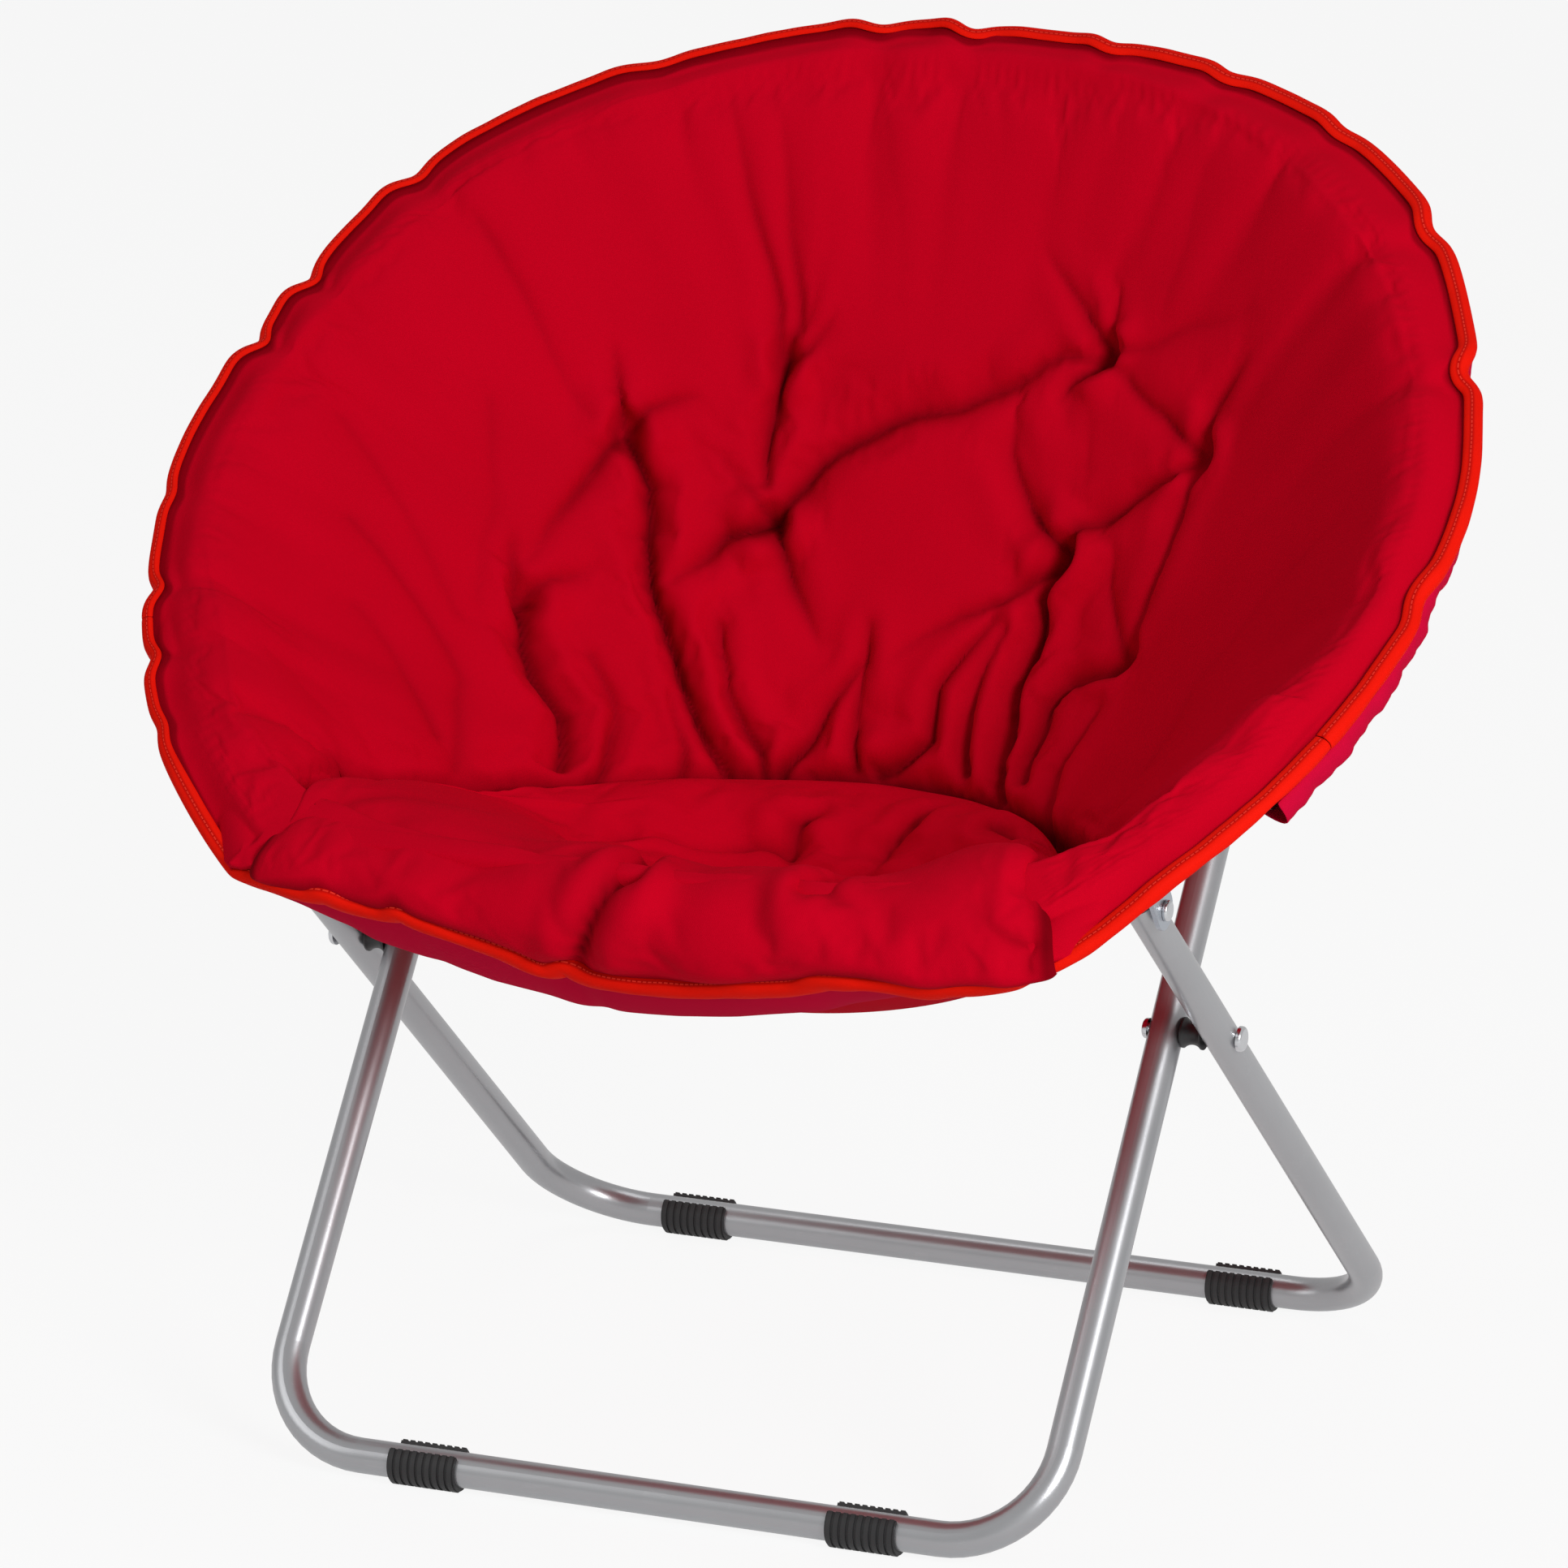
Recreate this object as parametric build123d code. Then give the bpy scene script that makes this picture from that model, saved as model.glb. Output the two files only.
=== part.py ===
"""Folding saucer chair: two crossed U legs under a round rim made of two hinged hoops.

Millimetres and degrees. +Z is up, the chair faces -Y and +X is the right-hand side seen from the front.
The origin is on the floor, midway between the front roll and the back of the rim.

Rim frame: x across the chair, t up the sloping rim towards the back, n square to the rim and upwards.
"""

import os
from math import acos, asin, cos, degrees, radians, sin, sqrt, tan

from build123d import *

# ---------------------------------------------------------------- tubes
TUBE_D = 22.0
TUBE_WALL = 1.2
TUBE_R = TUBE_D / 2

# ---------------------------------------------------------------- scissor legs, seen from the side
PIVOT_Y = -69.0
PIVOT_Z = 283.6
INNER_LEAN = 37.5
OUTER_LEAN = 50.0
INNER_HALF_WIDTH = 258.0
LEG_SPACING = 36.0
OUTER_HALF_WIDTH = INNER_HALF_WIDTH + LEG_SPACING
INNER_UPPER = 544.0
OUTER_UPPER = 183.0
LEG_TOP_MARGIN = 13.0
LEG_BEND = 65.0
BAR_HEIGHT = 14.0

# ---------------------------------------------------------------- rim of two hoops
RIM_TILT = 37.0
RIM_BEHIND_PIVOT = 37.2
RIM_HEIGHT = 574.4
BACK_HOOP_R = 402.0
HOOP_SPACING = 24.0
FRONT_SIDE_ANGLE = 30.6
FRONT_BAR_T = -308.0
FRONT_CORNER_R = 45.0
HINGE_T = -144.0
HOOP_END_GAP = 20.0

# ---------------------------------------------------------------- moulded hinge blocks of the rim
SLEEVE_WALL = 1.8
SLEEVE_LENGTH = 34.0
BLOCK_BITE = 3.3
BLOCK_R = 12.0
BLOCK_REACH = 28.0
BLOCK_GAP = 0.4
HINGE_PIN_R = 4.0
HINGE_HEAD_R = 7.0
HINGE_HEAD_T = 2.0

# ---------------------------------------------------------------- steel ears and their rivets
EAR_T = 3.0
EAR_R = 12.0
EAR_LEG_GAP = 0.4
EAR_RIVET_R = 3.0
EAR_HEAD_R = 6.5
EAR_HEAD_H = 3.0
HEAD_ROUND = 0.6
SMALL_HEAD_SHARE = 0.8
RUNNING_GAP = 0.05
FACE_GAP = 0.2

# ---------------------------------------------------------------- scissor bolts
BOLT_R = 4.0
BOLT_HEAD_R = 8.0
BOLT_HEAD_H = 3.6
SPACER_R = 9.5
SPACER_WAIST_R = 7.0
SPACER_RIM_SHARE = 0.16

# ---------------------------------------------------------------- tube plugs
PLUG_DEPTH = 14.0
PLUG_CAP = 2.6
PLUG_CLEARANCE = 0.1
PLUG_ROUND = 0.8
PLUG_PIN_GAP = 1.0

# ---------------------------------------------------------------- ribbed feet
FOOT_LENGTH = 45.0
FOOT_WALL = 3.4
FOOT_RIBS = 9
FOOT_GROOVE = 0.9
FOOT_RIB_SHARE = 0.6
FOOT_MOUTH = 76.0
FRONT_FOOT_X = 146.0
REAR_FOOT_X = 195.0

# ---------------------------------------------------------------- padded cover
COVER_OVERHANG = 15.0
COVER_R = BACK_HOOP_R + COVER_OVERHANG
COVER_SEAT_GAP = 2.3
FLANGE_TOP = 21.0
FLANGE_EDGE_TOP = 17.0
FLANGE_INSET = 16.0
HINGE_EASE = 60.0
TOP_HALF_WIDTH = 90.0
WALL_SHARE = 0.55
WALL_DROP = 0.66
SEAM_GAP = 0.6
CORNER_BEYOND_BAR = 17.0
CORNER_T = FRONT_BAR_T - CORNER_BEYOND_BAR
SEAT_BEHIND_BAR = 33.0
SEAT_FRONT_T = FRONT_BAR_T + SEAT_BEHIND_BAR
CORNER_FLAP_X = 231.0
CORNER_FLAP_OVERLAP = 6.0
SECTION_MARGIN = 15.0
SECTION_HALF = COVER_R + SECTION_MARGIN
TUFT_R = 42.0
TUFT_DEPTH = 9.0
CREASE_R = 10.0
CREASE_DEPTH = 5.5
CREASE_T = -44.0
CREASE_HALF_WIDTH = 248.0
CREASE_END_T = -205.0
CREASE_STEPS = 8
SURFACE_STEP = 2.0

# Depth of the cover below the rim plane on the centre line: t, lying side, underside.
COVER_DEPTH = (
    (-300, 10, 40), (-283, 45, 125), (-265, 84, 160), (-244, 129, 190), (-218, 165, 227),
    (-194, 195, 250), (-171, 214, 266), (-147, 233, 276), (-122, 239, 283), (-92, 243, 282),
    (-69, 239, 279), (-36, 227, 266), (19, 212, 245), (52, 201, 234), (110, 176, 210),
    (159, 151, 187), (210, 121, 156), (261, 90, 122), (310, 57, 88), (345, 31, 58),
    (368, 8, 30), (386, -19, -12), (440, -20, -12),
)
BACK_SECTIONS = (
    -143.7, -122, -92, -60, -25, 15, 55, 95, 135, 175, 215, 250, 280, 305, 328, 348, 368, 386, 425,
)
SEAT_SECTIONS = (-144.3, -157, -171, -185, -199, -213, -228, -244, -260, SEAT_FRONT_T)

# Sewn tufts of the back and of the seat, as x, t on the lying side.
BACK_TUFTS = ((0, 250), (-120, 180), (150, 200), (15, 120), (-190, 60), (215, 90), (120, 40))
SEAT_TUFTS = ((0, -185), (-130, -190), (130, -190))

# ---------------------------------------------------------------- front roll, binding and pockets
ROLL_THICKNESS = 19.0
ROLL_GAP = COVER_SEAT_GAP
ROLL_HALF_WIDTH = 226.0
ROLL_STEPS = 6
ROLL_TUCK = 22.0
ROLL_END_SHARE = 0.72
ROLL_END_POWER = 4
ROLL_LEAST_HANG = 1.0
BINDING_W = 13.0
BINDING_T = 3.7
BINDING_N = 14.0
BINDING_GAP = 0.3
LIP_R = 3.7
LIP_SAG = 47.0
LIP_GAP = 1.2
POCKET_T = 1.5
POCKET_GAP = 2.5
POCKET_TOP_GAP = 1.6
POCKET_BOTTOM = -14.5
POCKET_RETURN = 13.0
POCKET_END_T = -190.0
SLOT_GAP = 1.3
FRONT_POCKET_HALF = 222.0
FRONT_POCKET_GAP = 0.5

# ---------------------------------------------------------------- derived places
RIM = Plane(
    origin=(0, PIVOT_Y + RIM_BEHIND_PIVOT, RIM_HEIGHT),
    x_dir=(1, 0, 0),
    z_dir=(0, -sin(radians(RIM_TILT)), cos(radians(RIM_TILT))),
)
FRONT_HOOP_R = BACK_HOOP_R - HOOP_SPACING
BACK_HOOP_END_T = HINGE_T + HOOP_END_GAP
FRONT_HOOP_END_T = HINGE_T - HOOP_END_GAP
BACK_HOOP_END_X = sqrt(BACK_HOOP_R**2 - BACK_HOOP_END_T**2)
FRONT_HOOP_END_X = sqrt(FRONT_HOOP_R**2 - FRONT_HOOP_END_T**2)
HINGE_PLANE_X = (BACK_HOOP_END_X + FRONT_HOOP_END_X) / 2
BLOCK_THICKNESS = BACK_HOOP_END_X - HINGE_PLANE_X - BLOCK_GAP / 2 - TUBE_R - SLEEVE_WALL + BLOCK_BITE


def on_leg(lean, distance):
    """Point (y, z) at a distance above the scissor pivot along a leg that leans back by an angle."""
    return (PIVOT_Y + distance * sin(radians(lean)), PIVOT_Z + distance * cos(radians(lean)))


def lower_length(lean):
    """Distance down a leg from the scissor pivot to its floor bar."""
    return (PIVOT_Z - BAR_HEIGHT) / cos(radians(lean))


def rim_tn(point):
    """Rim coordinates (t, n) of a side-view point (y, z)."""
    local = RIM.to_local_coords(Vector(0, *point))
    return (local.Y, local.Z)


INNER_TOP = on_leg(INNER_LEAN, INNER_UPPER)
OUTER_TOP = on_leg(-OUTER_LEAN, OUTER_UPPER)
INNER_BAR = on_leg(INNER_LEAN, -lower_length(INNER_LEAN))
OUTER_BAR = on_leg(-OUTER_LEAN, -lower_length(OUTER_LEAN))


# ---------------------------------------------------------------- small tools
def tube_along(path, radius=TUBE_R, wall=TUBE_WALL):
    """Tube swept along a path; a wall of 0 gives a solid bar."""
    start = Plane(origin=path @ 0, z_dir=path % 0)
    section = start * Circle(radius)
    if wall:
        section = start * (Circle(radius) - Circle(radius - wall))
    return sweep(section, path=path)


def rod_x(radius, x_from, x_to, centre):
    """Round bar parallel to X through a side-view point (y, z)."""
    start = Plane(origin=(x_from, *centre), x_dir=(0, 1, 0), z_dir=(1, 0, 0))
    return extrude(start * Circle(radius), amount=x_to - x_from)


def rim_rod(radius, x_from, x_to, t, n=0.0):
    """Round bar parallel to X in the rim frame."""
    start = Plane(origin=(x_from, t, n), x_dir=(0, 1, 0), z_dir=(1, 0, 0))
    return extrude(start * Circle(radius), amount=x_to - x_from)


def rim_link(radius, start, end, x_from, thickness):
    """Flat plate with round ends between two (t, n) points of the rim frame, square to X."""
    length = sqrt((end[0] - start[0]) ** 2 + (end[1] - start[1]) ** 2)
    middle = ((start[0] + end[0]) / 2, (start[1] + end[1]) / 2)
    angle = degrees(acos((end[0] - start[0]) / length))
    turn = angle if end[1] > start[1] else -angle
    plane = Plane(origin=(x_from, 0, 0), x_dir=(0, 1, 0), z_dir=(1, 0, 0))
    outline = Pos(*middle) * Rot(0, 0, turn) * SlotCenterToCenter(length, 2 * radius)
    return extrude(plane * outline, amount=thickness)


def domed_head(radius, height, x_face, centre, outward):
    """Round rivet head on a plane square to X, with a rounded rim."""
    x_end = x_face + outward * height
    head = rod_x(radius, min(x_face, x_end), max(x_face, x_end), centre)
    edge = head.edges().filter_by(GeomType.CIRCLE).sort_by(Axis.X)[-1 if outward > 0 else 0]
    return fillet(edge, height * HEAD_ROUND)


def both_sides(name, piece, parts):
    """Store a right-hand piece and its mirror image."""
    parts[name + "_right"] = piece
    parts[name + "_left"] = mirror(piece, about=Plane.YZ)


# ---------------------------------------------------------------- legs
def u_leg(half_width, bar, lean, upper):
    """One bent leg: two uprights joined by a bar on the floor."""
    top = on_leg(lean, upper + LEG_TOP_MARGIN)
    corners = [(-half_width, *top), (-half_width, *bar), (half_width, *bar), (half_width, *top)]
    return tube_along(FilletPolyline(*corners, radius=LEG_BEND))


def inner_leg():
    """Front-bar leg with press holes for the scissor bolts and for the pins of the back ears."""
    leg = u_leg(INNER_HALF_WIDTH, INNER_BAR, INNER_LEAN, INNER_UPPER)
    reach = INNER_HALF_WIDTH + TUBE_D
    leg -= rod_x(BOLT_R, -reach, reach, (PIVOT_Y, PIVOT_Z))
    return leg - rod_x(EAR_RIVET_R, -reach, reach, INNER_TOP)


def outer_leg():
    """Rear-bar leg with running holes for the scissor bolts and press holes for the ear pins."""
    leg = u_leg(OUTER_HALF_WIDTH, OUTER_BAR, -OUTER_LEAN, OUTER_UPPER)
    reach = OUTER_HALF_WIDTH + TUBE_D
    leg -= rod_x(BOLT_R + RUNNING_GAP, -reach, reach, (PIVOT_Y, PIVOT_Z))
    return leg - rod_x(EAR_RIVET_R, -reach, reach, OUTER_TOP)


def leg_plug(half_width, lean, upper):
    """Domed plug in the open top of a leg, with a plain stem inside the tube."""
    end = on_leg(lean, upper + LEG_TOP_MARGIN)
    along = Vector(0, sin(radians(lean)), cos(radians(lean)))
    seat = Plane(origin=(half_width, *end), x_dir=(1, 0, 0), z_dir=along)
    cap = Cylinder(TUBE_R, PLUG_CAP, align=(Align.CENTER, Align.CENTER, Align.MIN))
    cap = fillet(cap.edges().filter_by(GeomType.CIRCLE).sort_by(Axis.Z)[-1], PLUG_CAP * PLUG_ROUND)
    stem_r = TUBE_R - TUBE_WALL - PLUG_CLEARANCE
    stem_length = min(PLUG_DEPTH, LEG_TOP_MARGIN - EAR_RIVET_R - PLUG_PIN_GAP)
    stem = Cylinder(stem_r, stem_length, align=(Align.CENTER, Align.CENTER, Align.MAX))
    return seat * (cap + stem)


# ---------------------------------------------------------------- scissor joint
def scissor_bolt():
    """Bolt through both legs with a domed head at each end."""
    centre = (PIVOT_Y, PIVOT_Z)
    x_in = INNER_HALF_WIDTH - TUBE_R - FACE_GAP
    x_out = OUTER_HALF_WIDTH + TUBE_R + FACE_GAP
    shank = rod_x(BOLT_R, x_in, x_out, centre)
    inner = domed_head(BOLT_HEAD_R * SMALL_HEAD_SHARE, BOLT_HEAD_H, x_in, centre, -1)
    return shank + inner + domed_head(BOLT_HEAD_R, BOLT_HEAD_H, x_out, centre, 1)


def scissor_spacer():
    """Waisted bush that keeps the two legs apart."""
    x_in = INNER_HALF_WIDTH + TUBE_R + FACE_GAP
    x_out = OUTER_HALF_WIDTH - TUBE_R - FACE_GAP
    half = (x_out - x_in) / 2
    rim_x = half * SPACER_RIM_SHARE
    outline = Polyline((-half, 0), (-half, SPACER_R), (-half + rim_x, SPACER_R))
    waist = ThreePointArc((-half + rim_x, SPACER_R), (0, SPACER_WAIST_R), (half - rim_x, SPACER_R))
    closing = Polyline((half - rim_x, SPACER_R), (half, SPACER_R), (half, 0), (-half, 0))
    body = revolve(make_face(outline + waist + closing), axis=Axis.X)
    body = Pos((x_in + x_out) / 2, PIVOT_Y, PIVOT_Z) * body
    return body - rod_x(BOLT_R, x_in - 1, x_out + 1, (PIVOT_Y, PIVOT_Z))


# ---------------------------------------------------------------- hoops, in the rim frame
def back_path():
    """Centre line of the back hoop: one arc over the back, open at the front."""
    start = degrees(asin(BACK_HOOP_END_T / BACK_HOOP_R))
    return CenterArc((0, 0), BACK_HOOP_R, start, 180 - 2 * start)


def front_side_x(t):
    """Centre line of the front hoop at t, on the arc and on the straight run to the corner."""
    leave_t = -FRONT_HOOP_R * sin(radians(FRONT_SIDE_ANGLE))
    if t > leave_t:
        return sqrt(FRONT_HOOP_R**2 - t**2)
    leave_x = FRONT_HOOP_R * cos(radians(FRONT_SIDE_ANGLE))
    return leave_x - (leave_t - t) * tan(radians(FRONT_SIDE_ANGLE))


def front_path():
    """Centre line of the front hoop: a short arc, a straight side, a corner and the front bar."""
    end_angle = degrees(asin(FRONT_HOOP_END_T / FRONT_HOOP_R))
    arc_size = -FRONT_SIDE_ANGLE - end_angle
    right = CenterArc((0, 0), FRONT_HOOP_R, end_angle, arc_size)
    left = CenterArc((0, 0), FRONT_HOOP_R, 180 - end_angle - arc_size, arc_size)
    corner_x = front_side_x(FRONT_BAR_T)
    leave = right @ 1
    run = FilletPolyline(
        leave, (corner_x, FRONT_BAR_T), (-corner_x, FRONT_BAR_T), (-leave.X, leave.Y),
        radius=FRONT_CORNER_R,
    )
    return Wire([right.edge(), *run.edges(), left.edge()])


def ring_piece(radius, t_start, length, tube_r):
    """Solid bar on a hoop's circle from t_start upwards or downwards along the arc."""
    start = degrees(asin(t_start / radius))
    return tube_along(CenterArc((0, 0), radius, start, degrees(length / radius)), tube_r, 0)


# ---------------------------------------------------------------- rim hinge, right-hand side
def hinge_block(radius, end_t, direction, x_from, pin_hole):
    """Moulded sleeve on a hoop's end with a thick ear that reaches the hinge pin."""
    sleeve = ring_piece(radius, end_t, direction * SLEEVE_LENGTH, TUBE_R + SLEEVE_WALL)
    reach_t = HINGE_T + direction * BLOCK_REACH
    ear = rim_link(BLOCK_R, (HINGE_T, 0), (reach_t, 0), x_from, BLOCK_THICKNESS)
    hoop = ring_piece(radius, end_t, direction * 2 * SLEEVE_LENGTH, TUBE_R)
    hole = rim_rod(pin_hole, x_from - 1, x_from + BLOCK_THICKNESS + 1, HINGE_T)
    return (sleeve + ear) - hoop - hole


def back_hinge():
    """Hinge block of the back hoop, outside the hinge plane."""
    x_from = HINGE_PLANE_X + BLOCK_GAP / 2
    return hinge_block(BACK_HOOP_R, BACK_HOOP_END_T, 1, x_from, HINGE_PIN_R)


def front_hinge():
    """Hinge block of the front hoop, inside the hinge plane."""
    x_from = HINGE_PLANE_X - BLOCK_GAP / 2 - BLOCK_THICKNESS
    return hinge_block(FRONT_HOOP_R, FRONT_HOOP_END_T, -1, x_from, HINGE_PIN_R)


def hinge_pin(outward):
    """Headed half of the hinge pin, pressed into one block and cut off at the hinge plane."""
    x_near = HINGE_PLANE_X + outward * BLOCK_GAP / 2
    x_far = x_near + outward * (BLOCK_THICKNESS + FACE_GAP)
    x_head = x_far + outward * HINGE_HEAD_T
    shank = rim_rod(HINGE_PIN_R, min(x_near, x_far), max(x_near, x_far), HINGE_T)
    return shank + rim_rod(HINGE_HEAD_R, min(x_far, x_head), max(x_far, x_head), HINGE_T)


# ---------------------------------------------------------------- ears, right-hand side
def front_ear():
    """Steel ear under the front hoop, outside the outer leg's top."""
    x_from = OUTER_HALF_WIDTH + TUBE_R + EAR_LEG_GAP
    pivot = rim_tn(OUTER_TOP)
    plate = rim_link(EAR_R, pivot, (pivot[0], 0), x_from, EAR_T)
    plate -= rim_rod(EAR_RIVET_R + RUNNING_GAP, x_from - 1, x_from + EAR_T + 1, *pivot)
    return plate - tube_along(front_path(), TUBE_R, 0)


def back_ear():
    """Steel ear that hangs from the back hoop down to the inner leg's top."""
    x_from = INNER_HALF_WIDTH + TUBE_R + EAR_LEG_GAP
    pivot = rim_tn(INNER_TOP)
    hoop_t = sqrt(BACK_HOOP_R**2 - (x_from + EAR_T / 2) ** 2)
    plate = rim_link(EAR_R, pivot, (hoop_t, 0), x_from, EAR_T)
    plate -= rim_rod(EAR_RIVET_R + RUNNING_GAP, x_from - 1, x_from + EAR_T + 1, *pivot)
    hanging = plate - tube_along(back_path(), TUBE_R, 0)
    return hanging.solids().sort_by(SortBy.VOLUME)[-1]


def ear_pin(half_width, top):
    """Pin pressed through a leg's top, with a small head inside and a larger one outside the ear."""
    x_in = half_width - TUBE_R - FACE_GAP
    x_out = half_width + TUBE_R + EAR_LEG_GAP + EAR_T + FACE_GAP
    shank = rod_x(EAR_RIVET_R, x_in, x_out, top)
    inner = domed_head(EAR_HEAD_R * SMALL_HEAD_SHARE, EAR_HEAD_H, x_in, top, -1)
    return shank + inner + domed_head(EAR_HEAD_R, EAR_HEAD_H, x_out, top, 1)


# ---------------------------------------------------------------- feet
def foot(x_middle, bar):
    """Ribbed clip round a floor bar, open at the top and flat on the floor."""
    outer = TUBE_R + FOOT_WALL
    x_from = x_middle - FOOT_LENGTH / 2
    clip = rod_x(outer - FOOT_GROOVE, x_from, x_from + FOOT_LENGTH, bar)
    pitch = FOOT_LENGTH / FOOT_RIBS
    for rib in range(FOOT_RIBS):
        start = x_from + (rib + (1 - FOOT_RIB_SHARE) / 2) * pitch
        clip += rod_x(outer, start, start + FOOT_RIB_SHARE * pitch, bar)
    clip -= rod_x(TUBE_R, x_from - 1, x_from + FOOT_LENGTH + 1, bar)
    mouth_half = outer * tan(radians(FOOT_MOUTH / 2)) * 2
    mouth = Polyline((0, 0), (-mouth_half, 2 * outer), (mouth_half, 2 * outer), (0, 0))
    section = Plane(origin=(x_from - 1, *bar), x_dir=(0, 1, 0), z_dir=(1, 0, 0))
    clip -= extrude(section * make_face(mouth), amount=FOOT_LENGTH + 2)
    floor = Box(FOOT_LENGTH + 2, 4 * outer, outer, align=(Align.CENTER, Align.CENTER, Align.MAX))
    return clip - Pos(x_middle, bar[0], 0) * floor


# ---------------------------------------------------------------- padded cover, in the rim frame
def depth_at(t, column):
    """Depth of the cover on the centre line, straight between the listed places."""
    rows = COVER_DEPTH
    for low, high in zip(rows, rows[1:]):
        if low[0] <= t <= high[0]:
            share = (t - low[0]) / (high[0] - low[0])
            return low[column] + share * (high[column] - low[column])
    return rows[-1][column]


def flange_inner(t):
    """Half width where the cover leaves the hoop and turns down into the bowl."""
    if t >= HINGE_T:
        edge = BACK_HOOP_R - FLANGE_INSET
        blend = min(1.0, (t - HINGE_T) / HINGE_EASE)
        hinge_x = front_side_x(HINGE_T) - FLANGE_INSET
        wide = sqrt(max(edge**2 - t**2, TOP_HALF_WIDTH**2))
        return hinge_x + (wide - hinge_x) * blend
    return front_side_x(t) - FLANGE_INSET / cos(radians(FRONT_SIDE_ANGLE))


def skin_points(t, column, flange, edge):
    """Points of one skin of a cross-section from the left edge to the right edge."""
    inner = flange_inner(t)
    centre = -depth_at(t, column)
    wall_x = WALL_SHARE * inner
    wall_n = flange - WALL_DROP * (flange - centre)
    left = [(-SECTION_HALF, edge), (-inner, flange), (-wall_x, wall_n)]
    right = [(-x, n) for x, n in reversed(left)]
    return left, (0, centre), right


def cover_section(t):
    """Closed cross-section of the cover square to t: two skins joined at the outer edges."""
    under = TUBE_R + COVER_SEAT_GAP
    low_left, low_mid, low_right = skin_points(t, 2, under, under)
    top_left, top_mid, top_right = skin_points(t, 1, FLANGE_TOP, FLANGE_EDGE_TOP)
    edges = [
        Line(low_left[0], low_left[1]), Line(low_left[1], low_left[2]),
        ThreePointArc(low_left[2], low_mid, low_right[0]),
        Line(low_right[0], low_right[1]), Line(low_right[1], low_right[2]),
        Line(low_right[2], top_right[2]),
        Line(top_right[2], top_right[1]), Line(top_right[1], top_right[0]),
        ThreePointArc(top_right[0], top_mid, top_left[2]),
        Line(top_left[2], top_left[1]), Line(top_left[1], top_left[0]),
        Line(top_left[0], low_left[0]),
    ]
    plane = Plane(origin=(0, t, 0), x_dir=(1, 0, 0), z_dir=(0, -1, 0))
    return plane * make_face(edges)


def skin_height(x, t):
    """Height n of the lying side at a place of the cover."""
    left, middle, right = skin_points(t, 1, FLANGE_TOP, FLANGE_EDGE_TOP)
    wall_x, wall_n = right[0]
    inner = right[1][0]
    if abs(x) > wall_x:
        share = (abs(x) - wall_x) / (inner - wall_x)
        return wall_n + share * (FLANGE_TOP - wall_n)
    sag = wall_n - middle[1]
    bend_r = (wall_x**2 + sag**2) / (2 * sag)
    return middle[1] + bend_r - sqrt(bend_r**2 - x**2)


def skin_point(x, t, lift=0.0):
    """Place on the lying side, lifted along the surface's own normal."""
    step = SURFACE_STEP
    rise_x = (skin_height(x + step, t) - skin_height(x - step, t)) / (2 * step)
    rise_t = (skin_height(x, t + step) - skin_height(x, t - step)) / (2 * step)
    normal = Vector(-rise_x, -rise_t, 1).normalized()
    return Vector(x, t, skin_height(x, t)) + normal * lift


def tufted(pad, tufts):
    """Pad with a shallow round hollow at each sewn tuft."""
    for x, t in tufts:
        centre = skin_point(x, t, TUFT_R - TUFT_DEPTH)
        pad -= Pos(*centre) * Sphere(TUFT_R)
    return pad


def crease():
    """Rounded channel where the seat panel is sewn to the back, from corner to corner."""
    bow = (CREASE_T - CREASE_END_T) / CREASE_HALF_WIDTH**2
    xs = [CREASE_HALF_WIDTH * (2 * i / CREASE_STEPS - 1) for i in range(CREASE_STEPS + 1)]
    points = [skin_point(x, CREASE_T - bow * x**2, CREASE_R - CREASE_DEPTH) for x in xs]
    channel = Pos(*points[0]) * Sphere(CREASE_R)
    for start, end in zip(points, points[1:]):
        run = end - start
        rod = Cylinder(CREASE_R, run.length, align=(Align.CENTER, Align.CENTER, Align.MIN))
        channel += Plane(origin=start, z_dir=run) * rod
        channel += Pos(*end) * Sphere(CREASE_R)
    return channel


def outline_disc():
    """Tall disc that trims the cover to its round outline."""
    return Cylinder(COVER_R, 4 * COVER_R)


def back_pad():
    """Back cushion: the larger part of the bowl, behind the rim hinge."""
    pad = loft([cover_section(t) for t in BACK_SECTIONS], ruled=True)
    return tufted(pad & outline_disc(), BACK_TUFTS) - crease()


def corner_flap():
    """Flat corner of the seat cushion beside the front roll, over the hoop's bend."""
    low = TUBE_R + COVER_SEAT_GAP
    length = SEAT_FRONT_T + CORNER_FLAP_OVERLAP - CORNER_T
    flap = Box(
        COVER_R - CORNER_FLAP_X, length, FLANGE_EDGE_TOP - low,
        align=(Align.MIN, Align.MIN, Align.MIN),
    )
    return Pos(CORNER_FLAP_X, CORNER_T, low) * flap


def seat_pad():
    """Seat cushion: the bowl in front of the rim hinge, up to the front roll."""
    pad = loft([cover_section(t) for t in SEAT_SECTIONS], ruled=True)
    flap = corner_flap()
    pad = pad + flap + mirror(flap, about=Plane.YZ)
    return tufted(pad & outline_disc(), SEAT_TUFTS) - crease()


def lip_drop(x):
    """How far the edge of the front lip hangs below the binding at the corners."""
    corner_x = sqrt(COVER_R**2 - CORNER_T**2)
    arc_r = (corner_x**2 + LIP_SAG**2) / (2 * LIP_SAG)
    return LIP_SAG - arc_r + sqrt(arc_r**2 - x**2)


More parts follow.
